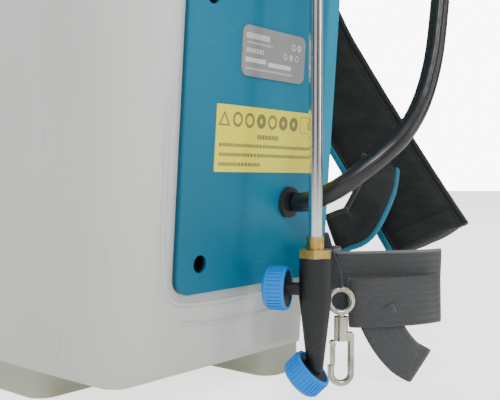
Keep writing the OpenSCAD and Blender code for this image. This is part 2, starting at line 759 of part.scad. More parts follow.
module nozzle_cap_side() color([0.0, 0.52, 0.88]) side_spout() nozzle_cap();
module nozzle_cap_end() color([0.0, 0.52, 0.88]) end_spout() nozzle_cap();

// ---- Grip ----

module grip_outline(inset) round_rect(
  [lance_y - grip_w / 2 + inset, grip_low + inset],
  [lance_y + grip_w / 2 - inset, grip_top - inset], 8 - inset);

// Slab of the grip's side outline between two distances from the lance's axis.
module grip_slab(from, to, inset)
  translate([lance_x + from, 0, 0]) rotate([90, 0, 90]) linear_extrude(to - from)
    grip_outline(inset);

grip_screw_z = [grip_low + 8, grip_top - 34, grip_top - 10];
grip_screw_y = lance_y + grip_w / 2 - 5.4;

module grip_shell(side) color([0.14, 0.14, 0.15]) difference() {
  half = grip_t / 2;
  union() {
    difference() {
      grip_slab(side > 0 ? eps : -half, side > 0 ? half : -eps, 0);
      grip_slab(side > 0 ? -1 : grip_wall - half, side > 0 ? half - grip_wall : 1, grip_wall);
    }
    for (z = grip_screw_z) translate([lance_x + (side > 0 ? eps : -half + 1), grip_screw_y, z])
      rotate([0, 90, 0]) cylinder(h = half - 1 - eps, r = 4);
    translate([lance_x + (side > 0 ? lever_t / 2 + 1 : 1 - half), trigger_at[0], trigger_at[1]])
      rotate([0, 90, 0]) cylinder(h = half - lever_t / 2 - 2, r = 4.5);
  }
  for (z = grip_screw_z) translate([lance_x, grip_screw_y, z]) rotate([0, 90, 0])
    cylinder(h = 2 * half - 4, r = 1.5, center = true);
  translate([lance_x, trigger_at[0], trigger_at[1]]) rotate([0, 90, 0])
    cylinder(h = 2 * half - 3, r = trigger_pin_r, center = true);
  translate([lance_x - lever_t / 2 - gap, lance_y - grip_w / 2 - 5, grip_low - 5])
    cube([lever_t + 2 * gap, 8, 72]);
  at_lance(grip_low - 10) cylinder(h = 40, r = lance_r);
  at_lance(grip_top - 10) cylinder(h = 20, r = 5);
}

module grip_left() grip_shell(-1);
module grip_right() grip_shell(1);

module grip_screws() color([0.6, 0.6, 0.62]) for (z = grip_screw_z)
  translate([lance_x, grip_screw_y, z]) rotate([0, 90, 0])
    cylinder(h = grip_t - 5, r = 1.5, center = true);

valve_z = [grip_low + 33, grip_low + 86];

module trigger_valve() color([0.76, 0.6, 0.28]) difference() {
  union() {
    at_lance(valve_z[0]) cylinder(h = valve_z[1] - valve_z[0], r = 8);
    at_lance(valve_z[1] - eps) cylinder(h = grip_top + 1 - valve_z[1], r = 4.9);
  }
  at_lance(valve_z[0] - 1) cylinder(h = 18, r = 2.5);
  at_lance(valve_z[1] - 12) cylinder(h = grip_h, r = 2.5);
  translate([lance_x, lance_y, stem_z]) rotate([90, 0, 0]) cylinder(h = 30, r = stem_r + run_fit);
}

stem_back = lance_y - 5.2;
stem_front = trigger_at[0] - 15.6;

module valve_stem() color([0.75, 0.75, 0.78])
  translate([lance_x, stem_back, stem_z]) rotate([90, 0, 0])
    cylinder(h = stem_back - stem_front, r = stem_r);

// Side outline of the lever, from the pivot outward and up.
module lever_outline() {
  y = trigger_at[0];
  z = trigger_at[1];
  difference() {
    union() {
      translate([y, z]) circle(r = 6);
      polygon([[y - 5, z - 4], [y + 3, z + 5], [y - 12, z + 22], [y - 16, z + 30],
        [y - 16, z + 118], [y - 20, z + 128], [y - 25, z + 126], [y - 24, z + 24], [y - 18, z + 10]]);
    }
    translate([y, z]) circle(r = trigger_pin_r + run_fit);
  }
}

module trigger_lever() color([0.16, 0.60, 0.70])
  translate([lance_x - lever_t / 2, 0, 0]) rotate([90, 0, 90]) linear_extrude(lever_t)
    lever_outline();

module trigger_pin() color([0.7, 0.7, 0.72])
  translate([lance_x, trigger_at[0], trigger_at[1]]) rotate([0, 90, 0])
    cylinder(h = grip_t - 4, r = trigger_pin_r, center = true);

lock_z = grip_top - 22;

// Thumb lever on the outer side of the grip.
module trigger_lock() color([0.85, 0.25, 0.15])
  translate([lance_x + grip_t / 2 + gap, lance_y - 4, lock_z]) rotate([0, 90, 0]) {
    cylinder(h = 4, r = 7);
    translate([-4, -22, 0]) cube([8, 20, 4]);
  }

module hose_nut() color([0.12, 0.12, 0.13]) at_lance(grip_top + 1) difference() {
  union() {
    cylinder(h = nut_top - grip_top - 1, r = 10);
    for (turn = [0:30:330]) rotate([0, 0, turn])
      translate([9.5, -1.2, 1.5]) cube([1.5, 2.4, 8]);
    cylinder(h = nut_top - grip_top - 1, r = tube_r);
  }
  translate([0, 0, -1]) cylinder(h = 20, r = 2.5);
}

module hose() color([0.13, 0.13, 0.14])
  sweep(hose_route, round_section(tube_r, 10), unit([3, -1, -1]));

// ---- Harness ----

back_y = tank_d / 2 + pad_gap;

module back_pad() color([0.1, 0.1, 0.11])
  translate([0, back_y + pad_t, 0]) rotate([90, 0, 0]) linear_extrude(pad_t)
    round_rect([-pad_w / 2, pad_z[0]], [pad_w / 2, pad_z[1]], 24);

// Shoulder strap, from the tank's shoulder down and out to one side, and the link back to the base.
strap_route = [
  [58, back_y + 15, 394], [60, back_y + 33, 402], [62, back_y + 52, 390], [63, back_y + 60, 360],
  [65, back_y + 62, 320], [72, back_y + 62, 276], [87, back_y + 68, 236], [104, back_y + 76, 203],
  [120, back_y + 83, 174], [135, back_y + 86, 150], [152, back_y + 85, 126], [170, back_y + 80, 104],
  [187, back_y + 72, 86]
];
strap_facing = [
  [0, 1, 0.1], [0, 1, 0.1], [0, 1, 0.1], [-0.02, 1, 0], [-0.1, 1, 0], [-0.3, 0.95, 0],
  [-0.5, 0.86, 0], [-0.6, 0.8, 0], [-0.64, 0.77, 0], [-0.64, 0.77, 0], [-0.64, 0.77, 0],
  [-0.64, 0.77, 0], [-0.64, 0.77, 0]
];
link_route = [
  [146, back_y + 9, 91], [150, back_y + 17, 94], [155, back_y + 27, 98], [157, back_y + 40, 112],
  [154, back_y + 56, 125], [147, back_y + 72, 136], [140, back_y + 84, 145]
];
link_w = 30;
link_t = 6;
link_facing = [-0.64, 0.77, 0];

module strap(flip) color([0.1, 0.11, 0.12]) {
  sweep([for (q = strap_route) flip(q, flip)], flat_section(strap_w, strap_t),
    [for (q = strap_facing) flip(q, flip)], flip);
  sweep([for (q = link_route) flip(q, flip)], flat_section(link_w, link_t), flip(link_facing, flip),
    flip);
}
function flip(q, side) = [side * q[0], q[1], q[2]];

module shoulder_strap_left() strap(-1);
module shoulder_strap_right() strap(1);

// Flat band on edge that follows a plan outline.
module band(route, z, w, t) translate([0, 0, z]) linear_extrude(w) polygon(concat(
  [for (i = [0:len(route) - 1]) route[i] + t / 2 * band_side(route, i)],
  [for (i = [len(route) - 1:-1:0]) route[i] - t / 2 * band_side(route, i)]));
function band_side(p, i) = let (t = tangent(p, i)) [-t[1], t[0]];

// Outline of the waist belt in plan, its fold in front, and its tail; x is from the side of the base.
belt_bends = [
  [-42, back_y + 1.5], [-26, back_y + 6], [-6, back_y + 10], [12, 98], [21, 87], [23, 75],
  [26, 67], [31.5, 64.5], [37, 67.5], [44, 75], [53, 86], [62, 99], [69, 113], [73, 126]
];
fold_bends = [
  [72.5, 124], [67.5, 104], [59, 89.5], [51.5, 77.5], [45.5, 68], [43.2, 63.2], [46, 60.4],
  [51, 63.5], [58, 72], [67, 85.5], [74, 99], [79, 114]
];
tail_bends = [[57, 71, 48], [59, 76, 38], [62, 83, 27], [66, 92, 17], [71, 103, 10]];
tail_w = 25;
fold_z = 38;
fold_w = 30;

module belt(side) color([0.3, 0.3, 0.31]) {
  half = base_w / 2;
  band([for (q = belt_bends) [side * (q[0] + half), q[1]]], 46, belt_w, web_t);
  band([for (q = fold_bends) [side * (q[0] + half), q[1]]], fold_z, fold_w, web_t);
  sweep([for (q = tail_bends) flip([q[0] + half, q[1], q[2]], side)], flat_section(tail_w, web_t),
    flip([-0.73, 0.63, 0.12], side));
}
module waist_belt_right() belt(1);
module waist_belt_left() belt(-1);

// Strap of the snap hook, from its eye up, round and down over the belt; points are from hook_at.
hook_strap_bends = [
  [0, 0, 65.2], [-1, -0.8, 74], [-5, -1.5, 83], [-10, 1, 90], [-14.5, 6, 91.5], [-17.4, 11, 87],
  [-17.9, 12.2, 76]
];
hook_strap_facing = [
  [0.77, 0.64, 0], [0.77, 0.64, 0], [0.77, 0.64, 0], [0.7, 0.7, 0], [0.6, 0.8, 0],
  [0.41, 0.91, 0], [0.41, 0.91, 0]
];
module hook_strap() color([0.1, 0.1, 0.11])
  sweep([for (q = hook_strap_bends) [q[0] + hook_at[0], q[1] + hook_at[1], q[2]]],
    flat_section(10, 2), hook_strap_facing);

module at_hook() translate([hook_at[0], hook_at[1], 0]) rotate([0, 0, hook_turn]) children();

module hook_eye() color([0.78, 0.76, 0.7]) at_hook() {
  translate([0, 0, 56]) rotate([90, 0, 0]) rotate_extrude() translate([7, 0]) circle(r = 1.7);
  translate([0, 0, 40]) cylinder(h = 9, r = 1.8);
  translate([0, 0, 38.5]) cylinder(h = 2, r = 3);
}

module snap_hook() color([0.78, 0.76, 0.7]) at_hook() {
  difference() {
    translate([0, 0, 32]) cylinder(h = 14.5, r = 4.2);
    translate([0, 0, 37]) cylinder(h = 20, r = 1.8 + run_fit);
    translate([0, 0, 37]) cylinder(h = 6, r = 3 + run_fit);
  }
  translate([bow_r, 0, bow_z]) cylinder(h = 24, r = hook_r);
  translate([1, -2, 32]) cube([bow_r, 4, 5]);
  translate([0, 0, bow_z]) rotate([90, 0, 0]) rotate([0, 0, 180]) rotate_extrude(angle = 180)
    translate([bow_r, 0]) circle(r = hook_r);
  translate([-bow_r, 0, bow_z]) cylinder(h = 5, r = hook_r);
}

module hook_gate() color([0.7, 0.68, 0.62]) at_hook() translate([-bow_r + 1, 0, 30]) {
  rotate([90, 0, 0]) cylinder(h = 5, r = 2, center = true);
  translate([-1.5, -1.5, -12.4]) cube([3, 3, 12.4]);
}

tank();
side_cover();
cover_gasket();
cover_screws();
rating_plate();
warning_label();
hose_grommet();
pump_head();
pump_body();
diaphragm();
drive_shaft();
motor();
pressure_switch();
inlet_filter();
outlet_tube();
control_board();
wiring();
power_button();
pressure_dial();
battery_housing();
battery_terminals();
battery_pack();
battery_door();
door_pin();
door_latch();
strainer();
cap_gasket();
filler_cap();
vent_valve();
drain_cap();
carry_handle();
handle_screws();
lance_clip_lower();
lance_clip_upper();
hose_hook();
lance_tube();
lance_fitting();
nozzle_body();
nozzle_tips();
nozzle_cap_side();
nozzle_cap_end();
grip_left();
grip_right();
grip_screws();
trigger_valve();
valve_stem();
trigger_lever();
trigger_pin();
trigger_lock();
hose_nut();
hose();
back_pad();
shoulder_strap_left();
shoulder_strap_right();
waist_belt_left();
waist_belt_right();
hook_strap();
hook_eye();
snap_hook();
hook_gate();
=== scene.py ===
import math

import bpy
import bmesh
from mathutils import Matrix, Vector
from mathutils.bvhtree import BVHTree


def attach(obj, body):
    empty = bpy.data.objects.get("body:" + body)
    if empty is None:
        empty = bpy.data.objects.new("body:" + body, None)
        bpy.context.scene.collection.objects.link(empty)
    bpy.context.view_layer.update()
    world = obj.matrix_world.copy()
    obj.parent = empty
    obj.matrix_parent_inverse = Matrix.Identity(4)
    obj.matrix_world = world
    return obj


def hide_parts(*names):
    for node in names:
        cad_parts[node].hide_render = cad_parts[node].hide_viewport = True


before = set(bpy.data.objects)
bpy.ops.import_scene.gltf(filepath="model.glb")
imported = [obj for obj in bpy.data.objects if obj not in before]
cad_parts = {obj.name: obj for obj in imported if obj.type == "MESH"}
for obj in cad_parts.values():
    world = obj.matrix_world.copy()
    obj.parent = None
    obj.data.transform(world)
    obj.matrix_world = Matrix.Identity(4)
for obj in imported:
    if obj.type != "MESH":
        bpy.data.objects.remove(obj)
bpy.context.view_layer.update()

# Sizes shared by several pieces, in metres.
MM = 0.001
SIDE_LEAN = math.radians(4.2)
BASE_HALF = 140 * MM
FOOT_H = 20 * MM
BACK_Y = 91 * MM
PAD_T = 22 * MM
FACE_NORMAL = Vector((math.cos(SIDE_LEAN), 0, -math.sin(SIDE_LEAN)))
FACE_UP = Vector((math.sin(SIDE_LEAN), 0, math.cos(SIDE_LEAN)))


def mm(*values):
    """A point given in millimetres."""
    return Vector(values) * MM


def on_side_face(y, row, proud=0.0):
    """A point on the side face that carries the cover: y across, row up along the face, in metres."""
    foot = Vector((BASE_HALF, y, FOOT_H))
    return foot + FACE_UP * row + FACE_NORMAL * proud


# ---------------------------------------------------------------- camera

def aim_camera():
    """Low and close to the rear corner of the cover, level with the sticker."""
    lens = bpy.data.cameras.new("camera")
    lens.lens = 54.3
    lens.sensor_width = 36.0
    lens.clip_start = 0.01
    camera = bpy.data.objects.new("camera", lens)
    bpy.context.scene.collection.objects.link(camera)
    camera.location = mm(433.6, -335.1, 128.8)
    camera.rotation_euler = (math.radians(90 - 1.51), 0, math.radians(39.71))
    bpy.context.scene.camera = camera


aim_camera()


# ---------------------------------------------------------------- paths and meshes

def smooth_path(points, step):
    """Points at equal steps along one smooth curve through the given ones."""
    ends = [points[0] * 2 - points[1], *points, points[-1] * 2 - points[-2]]
    fine = []
    for i in range(1, len(ends) - 2):
        a, b, c, d = ends[i - 1:i + 3]
        for k in range(24):
            t = k / 24
            fine.append(0.5 * (2 * b + (c - a) * t + (2 * a - 5 * b + 4 * c - d) * t ** 2
                               + (3 * b - a - 3 * c + d) * t ** 3))
    fine.append(points[-1].copy())
    lengths = [0.0]
    for p, q in zip(fine, fine[1:]):
        lengths.append(lengths[-1] + (q - p).length)
    count = max(2, round(lengths[-1] / step))
    even = []
    at = 0
    for k in range(count + 1):
        want = lengths[-1] * k / count
        while at < len(fine) - 2 and lengths[at + 1] < want:
            at += 1
        span = max(lengths[at + 1] - lengths[at], 1e-9)
        even.append(fine[at].lerp(fine[at + 1], (want - lengths[at]) / span))
    return even


def tangents(path):
    """The direction of travel at each point of a path."""
    last = len(path) - 1
    return [(path[min(i + 1, last)] - path[max(i - 1, 0)]).normalized() for i in range(len(path))]


def run_length(path):
    """How far along the path each point lies."""
    run = [0.0]
    for p, q in zip(path, path[1:]):
        run.append(run[-1] + (q - p).length)
    return run


def carried_steps(path, first):
    """Two unit vectors square to the path at each point, with no twist from one to the next."""
    steps = []
    side = first
    for along in tangents(path):
        side = (side - along * side.dot(along)).normalized()
        steps.append((side, along.cross(side)))
    return steps


def add_piece(name, verts, faces, uvs=None, smooth=True):
    """A mesh object from points and faces, with one UV for each corner if given."""
    mesh = bpy.data.meshes.new(name)
    mesh.from_pydata([tuple(v) for v in verts], [], faces)
    if uvs is not None:
        layer = mesh.uv_layers.new(name="UVMap")
        for loop, uv in zip(layer.data, uvs):
            loop.uv = uv
    if smooth:
        mesh.shade_smooth()
    mesh.update()
    piece = bpy.data.objects.new(name, mesh)
    bpy.context.scene.collection.objects.link(piece)
    return piece


def loft(name, rings, across, run, smooth=True):
    """A closed skin over rings of equal count. UV in metres: across round the ring, run along."""
    count = len(rings[0])
    verts = [v for ring in rings for v in ring]
    faces = []
    uvs = []
    for r in range(len(rings) - 1):
        low, high = r * count, (r + 1) * count
        for k in range(count):
            nxt = (k + 1) % count
            faces.append((low + k, low + nxt, high + nxt, high + k))
            uvs += [(across[k], run[r]), (across[k + 1], run[r])]
            uvs += [(across[k + 1], run[r + 1]), (across[k], run[r + 1])]
    faces.append(tuple(range(count - 1, -1, -1)))
    faces.append(tuple((len(rings) - 1) * count + k for k in range(count)))
    uvs += [(across[k], run[0]) for k in range(count - 1, -1, -1)]
    uvs += [(across[k], run[-1]) for k in range(count)]
    piece = add_piece(name, verts, faces, uvs, smooth)
    turn_outwards(piece)
    return piece


def turn_outwards(piece):
    """Recalculates the normals of a closed mesh so that they point out."""
    work = bmesh.new()
    work.from_mesh(piece.data)
    bmesh.ops.recalc_face_normals(work, faces=work.faces)
    work.to_mesh(piece.data)
    work.free()


def tube_along(name, path, radius, sides=20, first=Vector((0, 0, 1))):
    """A round tube along a path. radius is one number, or one for each point."""
    radii = radius if isinstance(radius, list) else [radius] * len(path)
    turns = [2 * math.pi * k / sides for k in range(sides + 1)]
    rings = []
    for p, r, (side, up) in zip(path, radii, carried_steps(path, first)):
        rings.append([p + side * (r * math.cos(a)) + up * (r * math.sin(a)) for a in turns[:-1]])
    return loft(name, rings, [radii[0] * a for a in turns], run_length(path))


def band_section(width, thickness, edge, steps=12):
    """Outline of a flat band: (across, height) points over the top and back underneath."""
    half = width / 2
    top = []
    for k in range(steps + 1):
        u = -1 + 2 * k / steps
        top.append((half * u, thickness / 2 * (1 - edge * abs(u) ** 8)))
    return top + [(x, -h) for x, h in reversed(top)]


def ribbon(name, path, steps, section, lift=None):
    """Sweeps a section along a path. lift(x, h, s) may move a point of it out at s along the run."""
    run = run_length(path)
    rings = []
    for p, s, (side, up) in zip(path, run, steps):
        ring = []
        for x, h in section:
            out = lift(x, h, s) if lift else h
            ring.append(p + side * x + up * out)
        rings.append(ring)
    across = [x for x, h in section] + [section[0][0]]
    return loft(name, rings, across, run)


# ---------------------------------------------------------------- shader arithmetic

class Shade:
    """A socket in one material's nodes. Arithmetic on it adds Math nodes; node() adds any other."""

    def __init__(self, tree, socket=None):
        self.tree = tree
        self.socket = socket

    def node(self, kind, settings=None, inputs=None, output=0):
        """Adds a node: first its settings, then the values or links of its inputs."""
        made = self.tree.nodes.new(kind)
        for name, value in (settings or {}).items():
            if name == "stops":
                self.set_stops(made.color_ramp, value)
            else:
                setattr(made, name, value)
        for name, value in (inputs or {}).items():
            self.feed(made.inputs[name], value)
        return Shade(self.tree, made.outputs[output])

    @staticmethod
    def set_stops(ramp, stops):
        while len(ramp.elements) < len(stops):
            ramp.elements.new(1.0)
        for element, (place, colour) in zip(ramp.elements, stops):
            element.position = place
            element.color = colour

    def feed(self, target, value):
        if isinstance(value, Shade):
            self.tree.links.new(value.socket, target)
        else:
            target.default_value = value

    def math(self, operation, *values, clamp=False):
        settings = {"operation": operation, "use_clamp": clamp}
        return self.node("ShaderNodeMath", settings, dict(enumerate(values)))

    def __add__(self, other):
        return self.math("ADD", self, other)

    def __radd__(self, other):
        return self.math("ADD", other, self)

    def __sub__(self, other):
        return self.math("SUBTRACT", self, other)

    def __rsub__(self, other):
        return self.math("SUBTRACT", other, self)

    def __mul__(self, other):
        return self.math("MULTIPLY", self, other)

    def __rmul__(self, other):
        return self.math("MULTIPLY", other, self)

    def __truediv__(self, other):
        return self.math("DIVIDE", self, other)

    def __pow__(self, other):
        return self.math("POWER", self, other)

    def __gt__(self, other):
        return self.math("GREATER_THAN", self, other)

    def __lt__(self, other):
        return self.math("LESS_THAN", self, other)

    def sine(self):
        return self.math("SINE", self)

    def absolute(self):
        return self.math("ABSOLUTE", self)

    def fraction(self):
        return self.math("FRACT", self)

    def clamped(self):
        return self.math("ADD", self, 0.0, clamp=True)

    def least(self, other):
        return self.math("MINIMUM", self, other)

    def rise(self, low, high):
        """0 below low, 1 above high, and a soft step between them."""
        settings = {"interpolation_type": "SMOOTHSTEP"}
        return self.node("ShaderNodeMapRange", settings, {"Value": self, "From Min": low, "From Max": high})

    def between(self, low, high):
        """1 where the value lies between the two, 0 elsewhere."""
        return (self > low) * (self < high)

    def mix(self, other, factor):
        """This colour and another, by factor."""
        return self.node("ShaderNodeMix", {"data_type": "RGBA"}, {0: factor, 6: self, 7: other}, 2)

    def axes(self):
        """The three parts of a vector."""
        made = self.node("ShaderNodeSeparateXYZ", None, {0: self})
        outs = made.socket.node.outputs
        return tuple(Shade(self.tree, outs[k]) for k in range(3))

    def moved(self, centre=(0, 0, 0), turn=(0, 0, 0), scale=(1, 1, 1)):
        """A pattern's place, shifted, turned and stretched."""
        settings = {"vector_type": "POINT"}
        return self.node("ShaderNodeMapping", settings,
                         {"Vector": self, "Location": centre, "Rotation": turn, "Scale": scale})

    def noise(self, scale, detail=3.0, rough=0.55, warp=0.0):
        """Cloudy values from 0 to 1 about this place."""
        return self.node("ShaderNodeTexNoise", None, {
            "Vector": self, "Scale": scale, "Detail": detail, "Roughness": rough, "Distortion": warp})

    def cells(self, scale, feature="F1"):
        """Distance to the nearest of many scattered points."""
        return self.node("ShaderNodeTexVoronoi", {"feature": feature}, {"Vector": self, "Scale": scale})


def rgb(red, green, blue):
    """A screen colour of 0 to 255, as the shader's linear one."""
    def linear(c):
        c = c / 255
        return c / 12.92 if c <= 0.04045 else ((c + 0.055) / 1.055) ** 2.4
    return (linear(red), linear(green), linear(blue), 1.0)


def begin(name):
    """A new material, its arithmetic and the place of a point on the object."""
    mat = bpy.data.materials.new(name)
    mat.use_nodes = True
    shade = Shade(mat.node_tree)
    place = shade.node("ShaderNodeTexCoord", None, None, "Object")
    return mat, shade, place


def flat(shade, colour):
    """A plain colour to start a mix from."""
    return shade.node("ShaderNodeMix", {"data_type": "RGBA"}, {0: 0.0, 6: colour, 7: colour}, 2)



def flat_value(shade, number):
    """A plain number to start a comparison from."""
    return shade.math("ADD", number, 0.0)


def close(mat, shade, colour, rough, height=None, depth=0.05 * MM, strength=1.0, **fixed):
    """Feeds the shader: colour, roughness and bump may vary, and the rest are fixed numbers."""
    shader = mat.node_tree.nodes["Principled BSDF"]
    shade.feed(shader.inputs["Base Color"], colour)
    shade.feed(shader.inputs["Roughness"], rough)
    for name, value in fixed.items():
        shader.inputs[name.replace("_", " ")].default_value = value
    if height is not None:
        bump = shade.node("ShaderNodeBump", None,
                          {"Strength": strength, "Distance": depth, "Height": height})
        shade.feed(shader.inputs["Normal"], bump)
    return mat


def scuffs(place, along=(1, 1, 1), scale=220.0):
    """Thin scratches, 1 on a scratch and 0 elsewhere, stretched across `along`."""
    streaks = place.moved(scale=along).noise(scale, 2.0, 0.6, 0.4)
    patches = place.noise(14.0, 2.0)
    return streaks.rise(0.66, 0.7) * patches.rise(0.5, 0.62)


# ---------------------------------------------------------------- moulded plastics and rubber

def milky_polyethylene():
    """Blow-moulded tank wall: see-through milk, darker and yellower towards the feet, partly from the
    thicker wall and partly painted shade, with painted shade along the bottom edge.
    """
    mat, shade, place = begin("milky_polyethylene")
    z = place.axes()[2]
    cloud = place.moved(scale=(1, 1, 0.35)).noise(9.0, 3.0)
    # Darker and yellower towards the feet: partly the thicker wall, partly painted shade.
    low = 1.0 - z.rise(0.0, 0.16)
    # Painted shade: a khaki band along the rounded bottom edge, whose underside is in shadow.
    edge = 1.0 - z.rise(0.0, 0.035)
    colour = flat(shade, rgb(232, 235, 229)).mix(rgb(214, 216, 205), cloud.rise(0.35, 0.75) * 0.6)
    colour = colour.mix(rgb(203, 204, 190), low * 0.55)
    colour = colour.mix(rgb(176, 175, 150), edge * 0.7)
    marks = scuffs(place, (1, 1, 0.08))
    colour = colour.mix(rgb(190, 192, 184), marks * 0.35)
    grain = place.noise(1400.0, 3.0, 0.6)
    ripple = place.moved(scale=(1, 1, 0.3)).noise(26.0, 2.0)
    rough = 0.4 + grain * 0.1 + marks * 0.15
    height = grain * 0.25 + ripple * 1.6
    return close(mat, shade, colour, rough, height, 0.16 * MM,
                 Subsurface_Weight=0.3, Subsurface_Radius=(1.0, 0.95, 0.8), Subsurface_Scale=0.012,
                 Specular_IOR_Level=0.45)


def moulded(name, colour, worn, rough=0.42, grain_scale=1500.0, depth=0.06 * MM, dust=0.12, **fixed):
    """Injection-moulded plastic: spark-eroded grain, faint flow marks, scuffs and a little dust."""
    mat, shade, place = begin(name)
    grain = place.cells(grain_scale)
    flow = place.moved(scale=(1, 1, 0.4)).noise(18.0, 4.0, 0.6, 0.6)
    marks = scuffs(place, (1, 0.12, 1))
    dusty = place.noise(55.0, 5.0, 0.7).rise(0.52, 0.8)
    tint = flat(shade, colour).mix(worn, flow.rise(0.3, 0.8) * 0.35)
    tint = tint.mix(worn, marks * 0.7)
    tint = tint.mix(rgb(168, 164, 154), dusty * dust)
    shine = rough + flow * 0.08 + marks * 0.2 + dusty * 0.1
    return close(mat, shade, tint, shine, grain * 0.8 + flow * 0.5, depth, **fixed)


def soft_rubber(name, colour, rough=0.55):
    """Moulded rubber with a dull bloom on it."""
    mat, shade, place = begin(name)
    bloom = place.noise(60.0, 4.0, 0.65)
    fine = place.noise(2200.0, 2.0)
    tint = flat(shade, colour).mix(rgb(82, 82, 84), bloom.rise(0.45, 0.85) * 0.3)
    return close(mat, shade, tint, rough + bloom * 0.15, fine + bloom, 0.05 * MM)


def hose_rubber():
    """Extruded hose: glossy black with draw lines and a gentle unevenness along it."""
    mat, shade, place = begin("hose_rubber")
    u = shade.node("ShaderNodeUVMap", {"uv_map": "UVMap"}).axes()[0]
    lines = (u * 5200.0).sine()
    swell = place.noise(38.0, 2.0)
    bloom = place.noise(110.0, 4.0, 0.7)
    tint = flat(shade, rgb(24, 25, 27)).mix(rgb(58, 59, 62), bloom.rise(0.5, 0.85) * 0.45)
    rough = 0.2 + bloom * 0.18
    return close(mat, shade, tint, rough, lines * 0.03 + swell * 1.4, 0.7 * MM, Specular_IOR_Level=0.6)


# ---------------------------------------------------------------- metals, board and stickers

def polished_tube():
    """Drawn and polished stainless tube, with hairlines round it and a few long scratches."""
    mat, shade, place = begin("polished_tube")
    rings = place.moved(scale=(1, 1, 60)).noise(60.0, 2.0)
    haze = place.noise(45.0, 4.0, 0.6)
    long_marks = place.moved(scale=(1, 1, 0.02)).noise(900.0, 2.0).rise(0.66, 0.72)
    tint = flat(shade, rgb(226, 226, 226)).mix(rgb(176, 174, 170), haze.rise(0.4, 0.8) * 0.5)
    rough = 0.1 + haze * 0.1 + long_marks * 0.12
    return close(mat, shade, tint, rough, rings + long_marks * 0.5, 0.006 * MM, Metallic=1.0)


def turned_metal(name, colour, dull, rough=0.24, turn_axis=2):
    """Lathe-turned metal: fine rings along one axis, duller where hands have been."""
    mat, shade, place = begin(name)
    along = place.axes()[turn_axis]
    rings = (along * 15000.0).sine()
    haze = place.noise(120.0, 4.0, 0.65)
    tint = flat(shade, colour).mix(dull, haze.rise(0.4, 0.75) * 0.8)
    shine = rough + haze * 0.2
    return close(mat, shade, tint, shine, rings * 0.3 + haze, 0.02 * MM, Metallic=1.0)


def cast_metal(name, colour, dull, rough=0.34, scale=420.0, depth=0.05 * MM):
    """Die-cast or plated metal: pebbly skin, darker in its pores."""
    mat, shade, place = begin(name)
    skin = place.noise(scale, 4.0, 0.6)
    haze = place.noise(70.0, 3.0)
    tint = flat(shade, colour).mix(dull, haze.rise(0.42, 0.75) * 0.7)
    tint = tint.mix(dull, (1.0 - skin).rise(0.55, 0.8) * 0.5)
    return close(mat, shade, tint, rough + haze * 0.15, skin, depth, Metallic=1.0)


def circuit_board():
    """Green lacquer over copper tracks and tinned pads."""
    mat, shade, place = begin("circuit_board")
    y = place.axes()[1]
    tracks = (y * 400.0).fraction().between(0.3, 0.62) * (place.cells(60.0) > 0.28)
    pads = place.cells(240.0) < 0.16
    tint = flat(shade, rgb(20, 84, 50)).mix(rgb(52, 130, 84), tracks)
    tint = tint.mix(rgb(196, 196, 190), pads)
    shader = mat.node_tree.nodes["Principled BSDF"]
    shade.feed(shader.inputs["Metallic"], pads * 0.9)
    return close(mat, shade, tint, 0.32 - pads * 0.08, tracks * 0.6 + pads, 0.05 * MM)


def dashes(y, z, row, left, right, height, seed):
    """One row of blank dashes of uneven length between left and right."""
    band = z.between(row - height / 2, row + height / 2) * y.between(left, right)
    uneven = (y * 560.0 + (y * 173.0 + seed).sine() * 1.4 + seed).fraction()
    return band * (uneven > 0.22)


def ink_dots(y, z, centre_z, left, pitch, count, radius, seed):
    """A row of round blank marks, some full and some open rings."""
    step = (y - left) / pitch
    inside = y.between(left, left + pitch * count)
    across = (step.fraction() - 0.5) * pitch
    up = z - centre_z
    far = (across * across + up * up) ** 0.5
    disc = far < radius
    hole = (far < radius * 0.62) * (step.math("FLOOR", step) * 2.399 + seed).sine().rise(0.1, 0.2)
    spot = (across * across * 2.2 + up * up) ** 0.5 < radius * 0.36
    return inside * (disc - hole).clamped() * (1.0 - spot * (1.0 - hole))


def sticker():
    """Yellow film with a row of blank round marks, a short bar and rows of blank dashes."""
    mat, shade, place = begin("sticker")
    y, z = place.axes()[1:]
    marks = ink_dots(y, z, 163.2 * MM, -15.5 * MM, 10.6 * MM, 6, 4.3 * MM, 0.4)
    slope = (z - 159.2 * MM) * 0.6
    offset = (y + 21.5 * MM).absolute()
    wedge = (offset < 5.0 * MM - slope) * z.between(159.2 * MM, 167.5 * MM)
    wedge_hole = (offset < 3.7 * MM - slope) * z.between(160.1 * MM, 165.3 * MM)
    marks = marks + (wedge - wedge_hole).clamped()
    marks = marks + dashes(y, z, 154.0 * MM, 8 * MM, 28 * MM, 2.6 * MM, 0.3)
    marks = marks + dashes(y, z, 148.6 * MM, -25 * MM, 64 * MM, 2.0 * MM, 1.1)
    marks = marks + dashes(y, z, 143.2 * MM, -25 * MM, 66 * MM, 2.0 * MM, 2.3)
    marks = marks + dashes(y, z, 137.8 * MM, -25 * MM, 12 * MM, 2.0 * MM, 3.7)
    box_edge = y.between(49.5 * MM, 66 * MM) * z.between(158 * MM, 168.4 * MM)
    box_in = y.between(50.1 * MM, 65.4 * MM) * z.between(158.6 * MM, 167.8 * MM)
    marks = marks + (box_edge - box_in) * 0.7
    red_far = ((y - 61 * MM) ** 2.0 + (z - 163.2 * MM) ** 2.0) ** 0.5
    red = red_far.between(2.6 * MM, 3.6 * MM)
    fade = place.noise(30.0, 3.0)
    tint = flat(shade, rgb(250, 240, 60)).mix(rgb(240, 228, 70), fade)
    tint = tint.mix(rgb(92, 88, 74), marks.clamped() * 0.85)
    tint = tint.mix(rgb(206, 92, 60), red)
    film = place.noise(90.0, 3.0)
    return close(mat, shade, tint, 0.3 + film * 0.1, film, 0.05 * MM, Coat_Weight=0.25)


